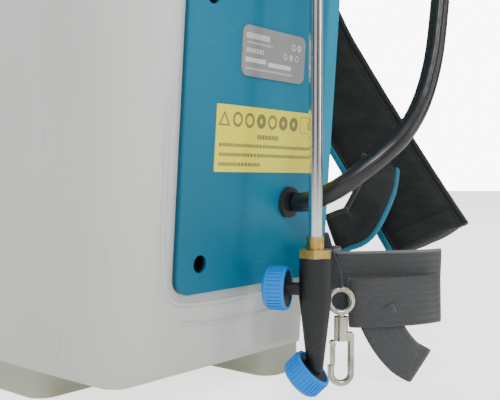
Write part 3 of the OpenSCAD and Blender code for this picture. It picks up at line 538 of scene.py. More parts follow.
def foil_plate():
    """Grey printed foil with rounded corners: blank bars and blank marks, nothing to read."""
    mat, shade, place = begin("foil_plate")
    y, z = place.axes()[1:]
    marks = dashes(y, z, 207.2 * MM, -6 * MM, 17 * MM, 1.0 * MM, 0.6) * 0.7
    marks = marks + z.between(209.4 * MM, 212.6 * MM) * y.between(-7 * MM, 14 * MM) * 0.75
    marks = marks + dashes(y, z, 202.8 * MM, -6.5 * MM, 9 * MM, 2.6 * MM, 1.9) * 0.8
    marks = marks + z.between(196.2 * MM, 198.8 * MM) * y.between(-7 * MM, 11.5 * MM)
    marks = marks + z.between(195.2 * MM, 197.8 * MM) * y.between(13.5 * MM, 36 * MM)
    marks = marks + dashes(y, z, 192.6 * MM, -6.5 * MM, 38 * MM, 1.0 * MM, 2.7) * 0.7
    marks = marks + ink_dots(y, z, 209.4 * MM, 35 * MM, 5.6 * MM, 2, 2.1 * MM, 1.0) * 0.8
    marks = marks + ink_dots(y, z, 203.0 * MM, 27 * MM, 5.8 * MM, 3, 1.9 * MM, 2.0) * 0.8
    grain = place.moved(scale=(1, 1, 18)).noise(420.0, 2.0)
    tint = flat(shade, rgb(150, 148, 148)).mix(rgb(170, 168, 168), grain * 0.5)
    tint = tint.mix(rgb(226, 226, 224), marks.clamped())
    return close(mat, shade, tint, 0.36 + grain * 0.1, grain, 0.01 * MM, Metallic=0.25)


# ---------------------------------------------------------------- hose

HOSE_D = 12 * MM
HOSE_POINTS = [Vector(p) * MM for p in (
    (156, 42, 115.4), (164, 42, 115.4), (175, 43.4, 118.6), (186, 47.5, 124.6), (196, 54.8, 133.6),
    (205, 65.5, 144.2), (211.5, 79, 157), (215, 94, 176), (216, 107.5, 202), (214.5, 119, 234),
    (212, 128.5, 270), (207, 139.2, 336), (206, 140, 361), (206.3, 132.2, 390), (206.8, 111, 411.2),
    (207.3, 97, 417), (207.8, 82, 419), (208.6, 67, 417), (209.5, 53, 411.2), (211.3, 31.8, 390),
    (213, 24, 361), (215, 31.8, 332), (217, 53, 310.8), (219, 82, 303), (221, 111, 310.8),
    (223, 132.2, 332), (224, 140, 361), (224.5, 142.5, 400), (223.5, 144, 445), (220.5, 144.3, 490),
    (215.5, 143.3, 535), (203, 139.5, 636.2), (198, 130.5, 663.8), (194, 108.7, 684.5),
    (191, 79.6, 692), (189, 50.5, 684.5), (188, 28.7, 663.8), (187.607, 19.6, 632),
    (187.607, 19.6, 614.1))]


def make_hose():
    """From the grommet up round its hook with one spare turn, and over into the nut on the grip."""
    path = smooth_path(HOSE_POINTS, 3 * MM)
    hose = tube_along("hose_run", path, HOSE_D / 2, sides=24, first=Vector((0, 1, 0)))
    hose.data.materials.append(hose_rubber())
    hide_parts("hose")
    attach(hose, "sprayer")
    length = run_length(path)[-1]
    [tuple(p) for p in path[::6]] + [tuple(path[-1])]
    return hose


make_hose()


# ---------------------------------------------------------------- finishes of the hard pieces

TEAL = rgb(0, 116, 148)
TEAL_WORN = rgb(6, 136, 168)
BLACK = rgb(22, 24, 26)
BLACK_WORN = rgb(52, 55, 58)
BLUE = rgb(0, 136, 232)
BLUE_WORN = rgb(0, 168, 248)
RED = rgb(196, 42, 30)
RED_WORN = rgb(220, 92, 70)

SHADED_TEAL = rgb(0, 62, 84)
# Painted shade: near-black for the inside of the deep screw recesses.
RECESS_SHADE = rgb(3, 5, 6)
COVER_FACE = 4 * MM
COVER_Y = (-52 * MM, 86 * MM)
SCREW_SPOTS = ((-35, 63.1), (-35, 209.1), (-35, 357.6), (69, 63.1), (69, 243.1), (69, 357.6))


def cover_plastic():
    """Teal plastic, with painted shade on its side walls, painted shade down the screw recesses, a painted
    highlight by its front edge and painted shade low down towards its other end.
    """
    mat, shade, place = begin("cover_plastic")
    x, y, z = place.axes()
    out, rise = x - BASE_HALF, z - FOOT_H
    proud = out * math.cos(SIDE_LEAN) - rise * math.sin(SIDE_LEAN)
    row = out * math.sin(SIDE_LEAN) + rise * math.cos(SIDE_LEAN)
    near = flat_value(shade, 1.0)
    for spot_y, spot_row in SCREW_SPOTS:
        across, up = y - spot_y * MM, row - spot_row * MM
        near = near.least((across * across + up * up) ** 0.5)
    # Painted shade on the side walls and the parts sunk below the cover's face.
    sunk_shade = 1.0 - proud.rise(COVER_FACE - 2.6 * MM, COVER_FACE - 0.5 * MM)
    # Painted shade down the screw recesses, nearly black.
    recess_shade = (1.0 - near.rise(5.1 * MM, 5.6 * MM)) * sunk_shade
    grain = place.cells(1500.0)
    flow = place.moved(scale=(1, 1, 0.4)).noise(14.0, 4.0, 0.6, 0.6)
    marks = scuffs(place, (1, 0.12, 1))
    dusty = place.noise(55.0, 5.0, 0.7).rise(0.55, 0.8)
    tint = flat(shade, TEAL).mix(TEAL_WORN, flow.rise(0.3, 0.8) * 0.4)
    # Painted highlight along the rounded front edge of the cover.
    tint = tint.mix(rgb(30, 158, 190), y.rise(COVER_Y[1] - 16 * MM, COVER_Y[1] - 9 * MM) * 0.75)
    # Painted shade low down towards the other end of the cover.
    tint = tint.mix(rgb(0, 96, 124), (1.0 - row.rise(0.05, 0.2)) * (1.0 - y.rise(-0.03, 0.05)) * 0.7)
    tint = tint.mix(rgb(22, 140, 170), marks * 0.4)
    tint = tint.mix(rgb(150, 160, 160), dusty * 0.05)
    tint = tint.mix(SHADED_TEAL, sunk_shade * 0.8).mix(RECESS_SHADE, recess_shade)
    shine = 0.36 + flow * 0.1 + marks * 0.15 + dusty * 0.08 + recess_shade * 0.3
    return close(mat, shade, tint, shine, grain * 0.6 + flow * 0.8, 0.07 * MM, Specular_IOR_Level=0.35)


TANK_WALL = milky_polyethylene()


def dress_frame():
    """Gives every hard CAD node its finish."""
    black = moulded("black_plastic", BLACK, BLACK_WORN, rough=0.45, dust=0.1)
    teal = moulded("teal_plastic", TEAL, TEAL_WORN, rough=0.36, dust=0.06, Specular_IOR_Level=0.45)
    red = moulded("red_plastic", RED, RED_WORN, rough=0.34)
    blue = moulded("blue_cap_plastic", BLUE, BLUE_WORN, rough=0.36, dust=0.02, Specular_IOR_Level=0.3)
    mesh_blue = moulded("filter_plastic", rgb(44, 78, 132), rgb(80, 110, 160), rough=0.5)
    rubber = soft_rubber("seal_rubber", rgb(38, 38, 40))
    satin = moulded("nozzle_plastic", rgb(15, 17, 18), rgb(34, 37, 40), rough=0.42, dust=0.08,
                    depth=0.04 * MM)
    steel = turned_metal("zinc_steel", rgb(196, 196, 190), rgb(150, 148, 140), rough=0.3)
    dark_steel = turned_metal("blackened_steel", rgb(52, 54, 56), rgb(30, 31, 33), rough=0.42)
    shiny = polished_tube()
    brass = turned_metal("turned_brass", rgb(216, 184, 104), rgb(150, 122, 62), rough=0.24)
    nickel = cast_metal("nickel_plating", rgb(214, 208, 190), rgb(140, 130, 108), rough=0.2, scale=260.0)
    pump = cast_metal("pump_casting", rgb(190, 191, 194), rgb(140, 141, 144))
    board = circuit_board()
    wire = moulded("cable_sheath", rgb(176, 28, 26), rgb(200, 70, 60), rough=0.4)
    film = sticker()
    foil = foil_plate()
    hose = soft_rubber("tube_rubber", rgb(30, 30, 32), rough=0.35)
    finishes = {
        "tank": TANK_WALL, "side_cover": cover_plastic(), "cover_gasket": rubber,
        "cover_screws": dark_steel, "rating_plate": foil, "warning_label": film,
        "hose_grommet": rubber, "pump_head": black, "pump_body": pump, "diaphragm": rubber,
        "drive_shaft": steel, "motor": steel, "pressure_switch": black,
        "inlet_filter": mesh_blue, "outlet_tube": hose, "control_board": board, "wiring": wire,
        "power_button": red, "pressure_dial": black, "battery_housing": black,
        "battery_terminals": brass, "battery_pack": black, "battery_door": teal,
        "door_pin": steel, "door_latch": black, "strainer": mesh_blue, "cap_gasket": rubber,
        "filler_cap": teal, "vent_valve": rubber, "drain_cap": black, "carry_handle": black,
        "handle_screws": steel, "lance_clip_lower": black, "lance_clip_upper": black,
        "hose_hook": black, "lance_tube": shiny, "lance_fitting": brass, "nozzle_body": satin,
        "nozzle_tips": steel, "nozzle_cap_side": blue, "nozzle_cap_end": blue,
        "grip_left": black, "grip_right": black, "grip_screws": steel, "trigger_valve": brass,
        "valve_stem": steel, "trigger_lever": teal, "trigger_pin": steel, "trigger_lock": red,
        "hose_nut": black, "hook_eye": nickel, "snap_hook": nickel, "hook_gate": nickel}
    for node, mat in finishes.items():
        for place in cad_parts[node].material_slots:
            place.material = mat


dress_frame()


# ---------------------------------------------------------------- harness: cloth finishes

def padded_cloth():
    """Black polyester over foam: a tight weave with a little sheen and lint."""
    mat, shade, place = begin("padded_cloth")
    u, v = shade.node("ShaderNodeUVMap", {"uv_map": "UVMap"}).axes()[:2]
    threads = (u * 7400.0).sine() * (v * 7400.0).sine()
    creases = place.moved(scale=(1, 1, 2.2)).noise(42.0, 4.0, 0.55, 0.5)
    lint = place.noise(900.0, 2.0).rise(0.68, 0.74)
    tint = flat(shade, rgb(13, 17, 18)).mix(rgb(34, 42, 44), creases.rise(0.35, 0.8) * 0.7)
    tint = tint.mix(rgb(7, 9, 10), threads.rise(0.1, 0.9) * 0.6)
    tint = tint.mix(rgb(120, 122, 120), lint * 0.2)
    height = threads * 0.12 + creases * 1.5
    return close(mat, shade, tint, 0.82 - threads.absolute() * 0.06, height, 0.8 * MM,
                 Sheen_Weight=0.12, Sheen_Roughness=0.4)


def spacer_mesh():
    """Open-hole spacer mesh on the side towards the wearer, with painted shade in its holes."""
    mat, shade, place = begin("spacer_mesh")
    x, _, z = place.axes()
    column = (x / (3.2 * MM)).fraction() - 0.5
    row = (z / (3.6 * MM) + (x / (3.2 * MM)).math("FLOOR", x / (3.2 * MM)) * 0.5).fraction() - 0.5
    far = (column * column + row * row) ** 0.5
    hole = 1.0 - far.rise(0.22, 0.32)
    fluff = place.noise(500.0, 3.0)
    # Painted shade: the holes are near-black, standing for the shade inside them.
    tint = flat(shade, rgb(30, 34, 37)).mix(rgb(6, 7, 8), hole)
    tint = tint.mix(rgb(58, 64, 68), fluff.rise(0.55, 0.8) * 0.4)
    return close(mat, shade, tint, 0.88, 1.0 - hole + fluff * 0.3, 0.9 * MM,
                 Sheen_Weight=0.25, Sheen_Roughness=0.5)


def webbing(name, colour, pale, edge_colour, half):
    """Woven belt: ribs across it in a herringbone, and paler along both edges."""
    mat, shade, place = begin(name)
    u, v = shade.node("ShaderNodeUVMap", {"uv_map": "UVMap"}).axes()[:2]
    lane = (u / (4.0 * MM)).fraction() - 0.5
    ribs = ((v + lane.absolute() * (2.4 * MM)) * 5200.0).sine()
    lanes = lane.absolute().rise(0.36, 0.5)
    edge = u.absolute().rise(half - 2.2 * MM, half - 1.0 * MM)
    fluff = place.noise(240.0, 4.0, 0.7)
    tint = flat(shade, colour).mix(pale, ribs.rise(-0.4, 1.0) * 0.5 + fluff.rise(0.5, 0.8) * 0.3)
    tint = tint.mix(edge_colour, edge * 0.6)
    height = ribs * 0.4 - lanes * 0.5 + fluff * 0.4 + edge * 0.4
    return close(mat, shade, tint, 0.62 + fluff * 0.15, height, 0.35 * MM,
                 Sheen_Weight=0.3, Sheen_Roughness=0.35)


def piping_cloth(name, colour, soiled, pale):
    """Bias tape rolled over a cord, with a slanting weave."""
    mat, shade, place = begin(name)
    u, v = shade.node("ShaderNodeUVMap", {"uv_map": "UVMap"}).axes()[:2]
    slant = ((u + v) * 6200.0).sine()
    soil = place.noise(70.0, 4.0, 0.6)
    tint = flat(shade, colour).mix(soiled, soil.rise(0.4, 0.8) * 0.6)
    tint = tint.mix(pale, slant.rise(0.3, 1.0) * 0.35)
    return close(mat, shade, tint, 0.7 + soil * 0.12, slant * 0.3 + soil * 0.7, 0.25 * MM,
                 Sheen_Weight=0.25, Sheen_Roughness=0.4)


def sewing_thread(name, colour):
    """Twisted polyester thread."""
    mat, shade, place = begin(name)
    twist = place.noise(2600.0, 2.0)
    tint = flat(shade, colour).mix(rgb(20, 22, 24), twist * 0.4)
    return close(mat, shade, tint, 0.6, twist, 0.05 * MM, Sheen_Weight=0.2)


# ---------------------------------------------------------------- harness: shapes

STRAP_W, STRAP_T = 62 * MM, 12 * MM
LINK_W, LINK_T = 30 * MM, 6 * MM
STRAP_QUILT, LINK_QUILT = 62 * MM, 90 * MM
STRAP_PIPING_R, LINK_PIPING_R = 2.6 * MM, 2 * MM
WEB_T = 2 * MM

# Runs of the right-hand side, in millimetres; the left-hand side is mirrored.
STRAP_RUN = (
    (58, 106, 394), (60, 124, 402), (62, 143, 390), (63, 151, 360), (65, 153, 320), (72, 153, 276),
    (87, 159, 236), (104, 167, 203), (120, 174, 174), (135, 177, 150), (152, 176, 126),
    (170, 171, 104), (187, 163, 86))
STRAP_FACING = (
    (0, 1, 0.1), (0, 1, 0.1), (0, 1, 0.1), (-0.02, 1, 0), (-0.1, 1, 0), (-0.3, 0.95, 0),
    (-0.5, 0.86, 0), (-0.6, 0.8, 0), (-0.64, 0.77, 0), (-0.64, 0.77, 0), (-0.64, 0.77, 0),
    (-0.64, 0.77, 0), (-0.64, 0.77, 0))
LINK_RUN = (
    (146, 100, 91), (150, 108, 94), (155, 118, 98), (157, 131, 112), (154, 147, 125),
    (147, 163, 136), (140, 175, 145))
BELT_RUN = (
    (98, 92.5), (114, 97), (134, 101), (152, 98), (161, 87), (163, 75), (166, 67), (171.5, 64.5),
    (177, 67.5), (184, 75), (193, 86), (202, 99), (209, 113), (213, 126))
FOLD_RUN = (
    (212.5, 124), (207.5, 104), (199, 89.5), (191.5, 77.5), (185.5, 68), (183.2, 63.2), (186, 60.4),
    (191, 63.5), (198, 72), (207, 85.5), (214, 99), (219, 114))
TAIL_RUN = ((197, 71, 48), (199, 76, 38), (202, 83, 27), (206, 92, 17), (211, 103, 10))
HOOK_STRAP_RUN = (
    (186, 49, 65.2), (185, 48.2, 74), (181, 47.5, 83), (176, 50, 90), (171.5, 55, 91.5),
    (168.6, 60, 87), (168.1, 61.2, 76))
HOOK_STRAP_FACING = (
    (0.77, 0.64, 0), (0.77, 0.64, 0), (0.77, 0.64, 0), (0.7, 0.7, 0), (0.6, 0.8, 0),
    (0.41, 0.91, 0), (0.41, 0.91, 0))


def flipped(points, side):
    """The points of one side, in metres, with x turned over for the left (-1)."""
    return [Vector((side * p[0], p[1], p[2])) * MM for p in points]


def even_facing(run, facing, path, side):
    """The facing of a strap at each point of its even path, from that at the run's points."""
    marks = run_length(flipped(run, side))
    out = []
    turned = [Vector((side * f[0], f[1], f[2])) for f in facing]
    for s in run_length(path):
        k = 0
        while k < len(marks) - 2 and marks[k + 1] < s:
            k += 1
        share = min(1.0, max(0.0, (s - marks[k]) / (marks[k + 1] - marks[k])))
        out.append(turned[k].lerp(turned[k + 1], share).normalized())
    return out


def faced_steps(path, facing):
    """Side and up steps of a flat strap whose flat side looks along facing."""
    steps = []
    for along, look in zip(tangents(path), facing):
        side = along.cross(look).normalized()
        steps.append((side, side.cross(along)))
    return steps


def cushion(half, thick, seam_at, pinch_every):
    """How far a padded strap's skin stands off its middle: crowned between seams, thin at its edge."""
    def lift(x, h, s):
        across = min(1.0, abs(x) / half)
        inner = max(0.0, 1 - (across / seam_at) ** 4)
        tape = 0.3 if across > seam_at else 0.22
        swell = tape + (1 - tape) * inner ** 0.7
        phase = (s / pinch_every) % 1.0
        pinch = 1 - 0.45 * math.exp(-((min(phase, 1 - phase) * pinch_every) / (2.4 * MM)) ** 2)
        ripple = 1 + 0.06 * math.sin(s * 310 + x * 160) + 0.05 * math.sin(s * 730 - x * 420)
        height = thick / 2 * (tape + (swell - tape) * pinch * ripple)
        return math.copysign(height, h)
    return lift


def edge_path(path, steps, offset, inset=0.0):
    """The line that runs beside a strap's middle, offset across it."""
    return [p + side * offset + up * inset for p, (side, up) in zip(path, steps)]


def padded_strap(name, run, facing, side, width, thick, pinch, piping_r):
    """A padded strap: quilted body, teal piping on its inner edge, black on the other, and stitches."""
    path = smooth_path(flipped(run, side), 2.5 * MM)
    steps = faced_steps(path, even_facing(run, facing, path, side))
    half = width / 2 - piping_r
    section = band_section(2 * half, thick, 0.0, 30)
    body = ribbon(name + "_padding", path, steps, section, cushion(half, thick, 0.84, pinch))
    body.data.materials.append(CLOTH)
    edges = []
    for edge, sign, tape in (("inner", -side, TEAL_PIPING), ("outer", side, BLACK_PIPING)):
        line = edge_path(path, steps, sign * half)
        cord = tube_along(f"{name}_{edge}_piping", line, piping_r, sides=12, first=steps[0][1])
        cord.data.materials.append(tape)
        edges.append(cord)
    rows = []
    for sign in (-1, 1):
        for face in (-1, 1):
            rows.append(edge_path(path, steps, sign * half * 0.88, face * thick * 0.155))
    seams = stitch_rows(f"{name}_stitches", rows, 3.2 * MM, 2.3 * MM, 0.32 * MM, THREAD)
    return [body, *edges, seams]


# ---------------------------------------------------------------- stitches by Geometry Nodes

def stitch_tree(thread):
    """Short threads laid end to end along every edge line of a mesh."""
    tree = bpy.data.node_groups.new("stitch_rows", "GeometryNodeTree")
    face = tree.interface
    face.new_socket("Lines", in_out="INPUT", socket_type="NodeSocketGeometry")
    face.new_socket("Spacing", in_out="INPUT", socket_type="NodeSocketFloat")
    face.new_socket("Stitch length", in_out="INPUT", socket_type="NodeSocketFloat")
    face.new_socket("Thread radius", in_out="INPUT", socket_type="NodeSocketFloat")
    face.new_socket("Stitches", in_out="OUTPUT", socket_type="NodeSocketGeometry")

    def add(kind, settings=None, **links):
        node = tree.nodes.new(kind)
        for key, value in (settings or {}).items():
            setattr(node, key, value)
        for key, value in links.items():
            target = node.inputs[key.replace("_", " ")]
            if isinstance(value, bpy.types.NodeSocket):
                tree.links.new(value, target)
            else:
                target.default_value = value
        return node

    given = tree.nodes.new("NodeGroupInput")
    result = tree.nodes.new("NodeGroupOutput")
    curve = add("GeometryNodeMeshToCurve", Mesh=given.outputs["Lines"])
    points = add("GeometryNodeCurveToPoints", {"mode": "LENGTH"},
                 Curve=curve.outputs["Curve"], Length=given.outputs["Spacing"])
    stitch = add("GeometryNodeMeshCylinder", None, Vertices=6,
                 Radius=given.outputs["Thread radius"], Depth=given.outputs["Stitch length"])
    placed = add("GeometryNodeInstanceOnPoints", None, Points=points.outputs["Points"],
                 Instance=stitch.outputs["Mesh"], Rotation=points.outputs["Rotation"])
    real = add("GeometryNodeRealizeInstances", None, Geometry=placed.outputs["Instances"])
    coloured = add("GeometryNodeSetMaterial", None, Geometry=real.outputs["Geometry"], Material=thread)
    tree.links.new(coloured.outputs["Geometry"], result.inputs["Stitches"])
    return tree


STITCH_TREES = {}


def stitch_rows(name, rows, spacing, length, radius, thread):
    """Rows of stitches along the given lines, as one plain mesh."""
    if thread.name not in STITCH_TREES:
        STITCH_TREES[thread.name] = stitch_tree(thread)
    tree = STITCH_TREES[thread.name]
    verts = [v for row in rows for v in row]
    edges = []
    start = 0
    for row in rows:
        edges += [(start + k, start + k + 1) for k in range(len(row) - 1)]
        start += len(row)
    mesh = bpy.data.meshes.new(name + "_lines")
    mesh.from_pydata([tuple(v) for v in verts], edges, [])
    lines = bpy.data.objects.new(name + "_lines", mesh)
    bpy.context.scene.collection.objects.link(lines)
    modifier = lines.modifiers.new("stitches", "NODES")
    modifier.node_group = tree
    sizes = {"Spacing": spacing, "Stitch length": length, "Thread radius": radius}
    for item in tree.interface.items_tree:
        if item.in_out == "INPUT" and item.name in sizes:
            modifier[item.identifier] = sizes[item.name]
    bpy.context.view_layer.update()
    graph = bpy.context.evaluated_depsgraph_get()
    made = bpy.data.meshes.new_from_object(lines.evaluated_get(graph))
    bpy.data.objects.remove(lines)
    piece = bpy.data.objects.new(name, made)
    bpy.context.scene.collection.objects.link(piece)
    return piece


# ---------------------------------------------------------------- harness: fitting

CLOTH = padded_cloth()
MESH = spacer_mesh()
TEAL_PIPING = piping_cloth("teal_piping", rgb(10, 126, 156), rgb(0, 90, 116), rgb(50, 160, 188))
BLACK_PIPING = piping_cloth("black_piping", rgb(22, 24, 26), rgb(14, 15, 17), rgb(60, 63, 66))
BELT = webbing("belt_webbing", rgb(58, 60, 62), rgb(92, 94, 96), rgb(146, 148, 150), 19 * MM)
HOOK_WEB = webbing("hook_webbing", rgb(24, 26, 28), rgb(52, 55, 58), rgb(70, 72, 75), 5 * MM)
THREAD = sewing_thread("dark_thread", rgb(58, 62, 66))


def finish_piece(piece, slot, *nodes, body="sprayer"):
    """Hides the nodes a finished piece stands for and attaches the piece to its body. The slot is not used.
    """
    if nodes:
        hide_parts(*nodes)
    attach(piece, body)


def fit_shoulder_strap(side, name):
    parts = padded_strap(name, STRAP_RUN, STRAP_FACING, side, STRAP_W, STRAP_T,
                         STRAP_QUILT, STRAP_PIPING_R)
    link = padded_strap(name + "_link", LINK_RUN, ((-0.64, 0.77, 0),) * len(LINK_RUN), side, LINK_W,
                        LINK_T, LINK_QUILT, LINK_PIPING_R)
    for piece in parts + link:
        finish_piece(piece, "pad_fabric", name)


def belt_path(run, z, side):
    return smooth_path(flipped([(x, y, z) for x, y in run], side), 2.5 * MM)


def standing_steps(path, lean):
    """Steps of a belt on edge: its width stands up, leaning by lean(s) sideways."""
    steps = []
    for along, s in zip(tangents(path), run_length(path)):
        out = along.cross(Vector((0, 0, 1))).normalized()
        up = (Vector((0, 0, 1)) + out * lean(s)).normalized()
        up = (up - along * up.dot(along)).normalized()
        steps.append((up, along.cross(up)))
    return steps


def fit_waist_belt(side, name):
    """The folded belt: one bend behind, one in front of it, and a short tail."""
    pieces = []
    runs = (("_back", BELT_RUN, 65, 38), ("_fold", FOLD_RUN, 53, 30))
    for suffix, run, middle, width in runs:
        path = belt_path(run, middle, side)
        steps = standing_steps(path, lambda s: 0.10 * math.sin(s * 42) + 0.04 * math.sin(s * 97))
        section = band_section(width * MM, WEB_T, 0.3, 16)
        pieces.append(ribbon(name + suffix, path, steps, section))
    tail = smooth_path(flipped(TAIL_RUN, side), 2.5 * MM)
    facing = [Vector((side * -0.73, 0.63, 0.12))] * len(tail)
    pieces.append(ribbon(name + "_tail", tail, faced_steps(tail, facing),
                         band_section(25 * MM, WEB_T, 0.3, 12)))
    for piece in pieces:
        piece.data.materials.append(BELT)
        finish_piece(piece, "belt_webbing", name)


def fit_hook_strap():
    path = smooth_path(flipped(HOOK_STRAP_RUN, 1), 1.5 * MM)
    steps = faced_steps(path, even_facing(HOOK_STRAP_RUN, HOOK_STRAP_FACING, path, 1))
    strap = ribbon("hook_strap_webbing", path, steps, band_section(10 * MM, 1.6 * MM, 0.3, 8))
    strap.data.materials.append(HOOK_WEB)
    finish_piece(strap, "strap_webbing", "hook_strap")


fit_shoulder_strap(1, "shoulder_strap_right")
fit_shoulder_strap(-1, "shoulder_strap_left")
fit_waist_belt(1, "waist_belt_right")
fit_waist_belt(-1, "waist_belt_left")
fit_hook_strap()
# ---------------------------------------------------------------- back pad

PAD_HALF = 105 * MM
PAD_Z = (110 * MM, 360 * MM)
PAD_MIDDLE = Vector((0, BACK_Y + PAD_T / 2, (PAD_Z[0] + PAD_Z[1]) / 2))
PAD_RIM_Y = BACK_Y + 8 * MM
PAD_CORNER = 24 * MM
PAD_SIM_SCALE = (0.94, 0.62, 0.95)
PAD_SWELL = 7 * MM
PAD_VOXEL = 5 * MM
CLOTH_FRAMES = 20
SPINE_HALF = 15 * MM
CHANNEL_Z = (172 * MM, 235 * MM, 298 * MM)
CHANNEL_DEPTH = 5.5 * MM
CHANNEL_WIDTH = 5 * MM
CHANNEL_BOW = 9 * MM
PAD_PRESSURE = 4.0
BINDING_R, BINDING_INSET = 2.8 * MM, 1.6 * MM
RIM_SEAM_INSET = 9 * MM
SPINE_END = 12 * MM
SEAM_STEP = 3 * MM
STITCH_LIFT = 0.1 * MM


def shrunk_copy(node, name, middle, scale, voxel):
    """A remeshed copy of a solid, a little smaller about its middle."""
    work = bmesh.new()
    work.from_mesh(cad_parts[node].data)
    bmesh.ops.remove_doubles(work, verts=work.verts, dist=0.01 * MM)
    for vert in work.verts:
        offset = vert.co - middle
        vert.co = middle + Vector((offset.x * scale[0], offset.y * scale[1], offset.z * scale[2]))
    mesh = bpy.data.meshes.new(name)
    work.to_mesh(mesh)
    work.free()
    piece = bpy.data.objects.new(name, mesh)
    bpy.context.scene.collection.objects.link(piece)
    remesh = piece.modifiers.new("even", "REMESH")
    remesh.mode = "VOXEL"
    remesh.voxel_size = voxel
    keep_modified(piece)
    return piece


def keep_modified(piece):
    """Makes what the modifiers show the piece's own mesh."""
    graph = bpy.context.evaluated_depsgraph_get()
    made = bpy.data.meshes.new_from_object(piece.evaluated_get(graph))
    piece.modifiers.clear()
    piece.data = made


def swell(piece, pressure, cap):
    """Inflates a closed cloth and holds each point within cap of where it began."""
    scene = bpy.context.scene
    start = [vert.co.copy() for vert in piece.data.vertices]
    cloth = piece.modifiers.new("air", "CLOTH")
    cloth.settings.quality = 5
    cloth.settings.use_pressure = True
    cloth.settings.uniform_pressure_force = pressure
    cloth.settings.effector_weights.gravity = 0.0
    cloth.point_cache.frame_start = 1
    cloth.point_cache.frame_end = CLOTH_FRAMES
    for at in range(1, CLOTH_FRAMES + 1):
        scene.frame_set(at)
    keep_modified(piece)
    scene.frame_set(1)
    for vert, first in zip(piece.data.vertices, start):
        moved = vert.co - first
        if moved.length > cap:
            vert.co = first + moved.normalized() * cap


def pad_channel(x, z):
    """How deep the sewn channels pull the pad in at a place: one spine and rows to either side."""
    depth = math.exp(-(max(0.0, abs(x) - SPINE_HALF * 0.35) / (SPINE_HALF * 0.6)) ** 2)
    for row in CHANNEL_Z:
        bow = row + CHANNEL_BOW * (abs(x) / PAD_HALF) ** 2
        fall = math.exp(-((z - bow) / CHANNEL_WIDTH) ** 2)
        depth = max(depth, fall * min(1.0, (PAD_HALF - abs(x)) / (14 * MM)))
    return max(0.0, depth)


def shape_pad(piece):
    """Rests the pad flat on the tank, then sews its channels and puckers into the open side."""
    for vert in piece.data.vertices:
        x, y, z = vert.co
        front = min(1.0, max(0.0, (y - PAD_RIM_Y) / (5 * MM)))
        pucker = 1 + 0.18 * math.sin(x * 900) * math.sin(z * 900)
        y -= front * CHANNEL_DEPTH * pad_channel(x, z) * pucker
        slack = 0.5 * MM * math.sin(x * 78 + 1.3) * math.sin(z * 61 + 0.4)
        vert.co.y = max(BACK_Y + 0.2 * MM, y + front * slack)
        vert.co.x = max(-PAD_HALF, min(PAD_HALF, x))
        vert.co.z = max(PAD_Z[0], min(PAD_Z[1], z))


def pad_rim(inset):
    """The pad's outline, inset from its edge, as a closed run of points at the rim's height."""
    half, low, high = PAD_HALF - inset, PAD_Z[0] + inset, PAD_Z[1] - inset
    corner = PAD_CORNER - inset
    points = []
    for cx, cz, first in ((half, high, 0), (-half, high, 90), (-half, low, 180), (half, low, 270)):
        middle = Vector((cx - math.copysign(corner, cx), PAD_RIM_Y,
                         cz - (corner if cz == high else -corner)))
        for k in range(13):
            a = math.radians(first + 90 * k / 12)
            points.append(middle + Vector((math.cos(a), 0, math.sin(a))) * corner)
    return points + [points[0].copy()]


def on_pad(tree, points, lift):
    """The points dropped onto the pad's open side."""
    out = []
    for p in points:
        hit = tree.ray_cast(Vector((p.x, 1.0, p.z)), Vector((0, -1, 0)))[0]
        if hit is not None:
            out.append(hit + Vector((0, lift, 0)))
    return out


def closed_tube(name, path, radius, sides):
    """A round tube along a flat closed path, joined end to end."""
    loop = path[:-1]
    rings = []
    for i, p in enumerate(loop):
        along = (loop[(i + 1) % len(loop)] - loop[i - 1]).normalized()
        side = along.cross(Vector((0, 1, 0))).normalized()
        rings.append([p + (side * math.cos(a) + Vector((0, 1, 0)) * math.sin(a)) * radius
                      for a in (2 * math.pi * k / sides for k in range(sides))])
    run = run_length(path)
    faces, uvs = [], []
    for r in range(len(rings)):
        low, high = r * sides, (r + 1) % len(rings) * sides
        for k in range(sides):
            nxt = (k + 1) % sides
            faces.append((low + k, low + nxt, high + nxt, high + k))
            turn = 2 * math.pi * radius / sides
            uvs += [(turn * k, run[r]), (turn * (k + 1), run[r])]
            uvs += [(turn * (k + 1), run[r + 1]), (turn * k, run[r + 1])]
    piece = add_piece(name, [v for ring in rings for v in ring], faces, uvs)
    turn_outwards(piece)
    return piece


def fit_back_pad():
    """Foam pad in spacer mesh: swollen by cloth simulation, sewn into channels, bound at its rim."""
    pad = shrunk_copy("back_pad", "back_pad_cushion", PAD_MIDDLE, PAD_SIM_SCALE, PAD_VOXEL)
    swell(pad, PAD_PRESSURE, PAD_SWELL)
    finer = pad.modifiers.new("finer", "SUBSURF")
    finer.levels = 1
    finer.render_levels = 1
    keep_modified(pad)
    shape_pad(pad)
    pad.data.shade_smooth()
    pad.data.materials.clear()
    pad.data.materials.append(MESH)
    skin = BVHTree.FromObject(pad, bpy.context.evaluated_depsgraph_get())
    rim = smooth_path(pad_rim(BINDING_INSET), SEAM_STEP)
    binding = closed_tube("back_pad_binding", rim, BINDING_R, 12)
    binding.data.materials.append(BLACK_PIPING)
    rows = [on_pad(skin, smooth_path(pad_rim(RIM_SEAM_INSET), SEAM_STEP), STITCH_LIFT)]
    for sign in (-1, 1):
        spine = [Vector((sign * SPINE_HALF * 0.9, 0, z))
                 for z in (PAD_Z[0] + SPINE_END, PAD_Z[1] - SPINE_END)]
        rows.append(on_pad(skin, smooth_path(spine, SEAM_STEP), STITCH_LIFT))
        for row in CHANNEL_Z:
            for edge in (-2 * MM, 2 * MM):
                line = []
                for k in range(9):
                    x = sign * (SPINE_HALF + (PAD_HALF - 12 * MM - SPINE_HALF) * k / 8)
                    line.append(Vector((x, 0, row + edge + CHANNEL_BOW * (x / PAD_HALF) ** 2)))
                rows.append(on_pad(skin, smooth_path(line, SEAM_STEP), STITCH_LIFT))
    seams = stitch_rows("back_pad_stitches", rows, 3.4 * MM, 2.4 * MM, 0.34 * MM, THREAD)
    for piece in (pad, binding, seams):
        finish_piece(piece, "pad_fabric", "back_pad")


fit_back_pad()


# ---------------------------------------------------------------- beads moulded in the tank

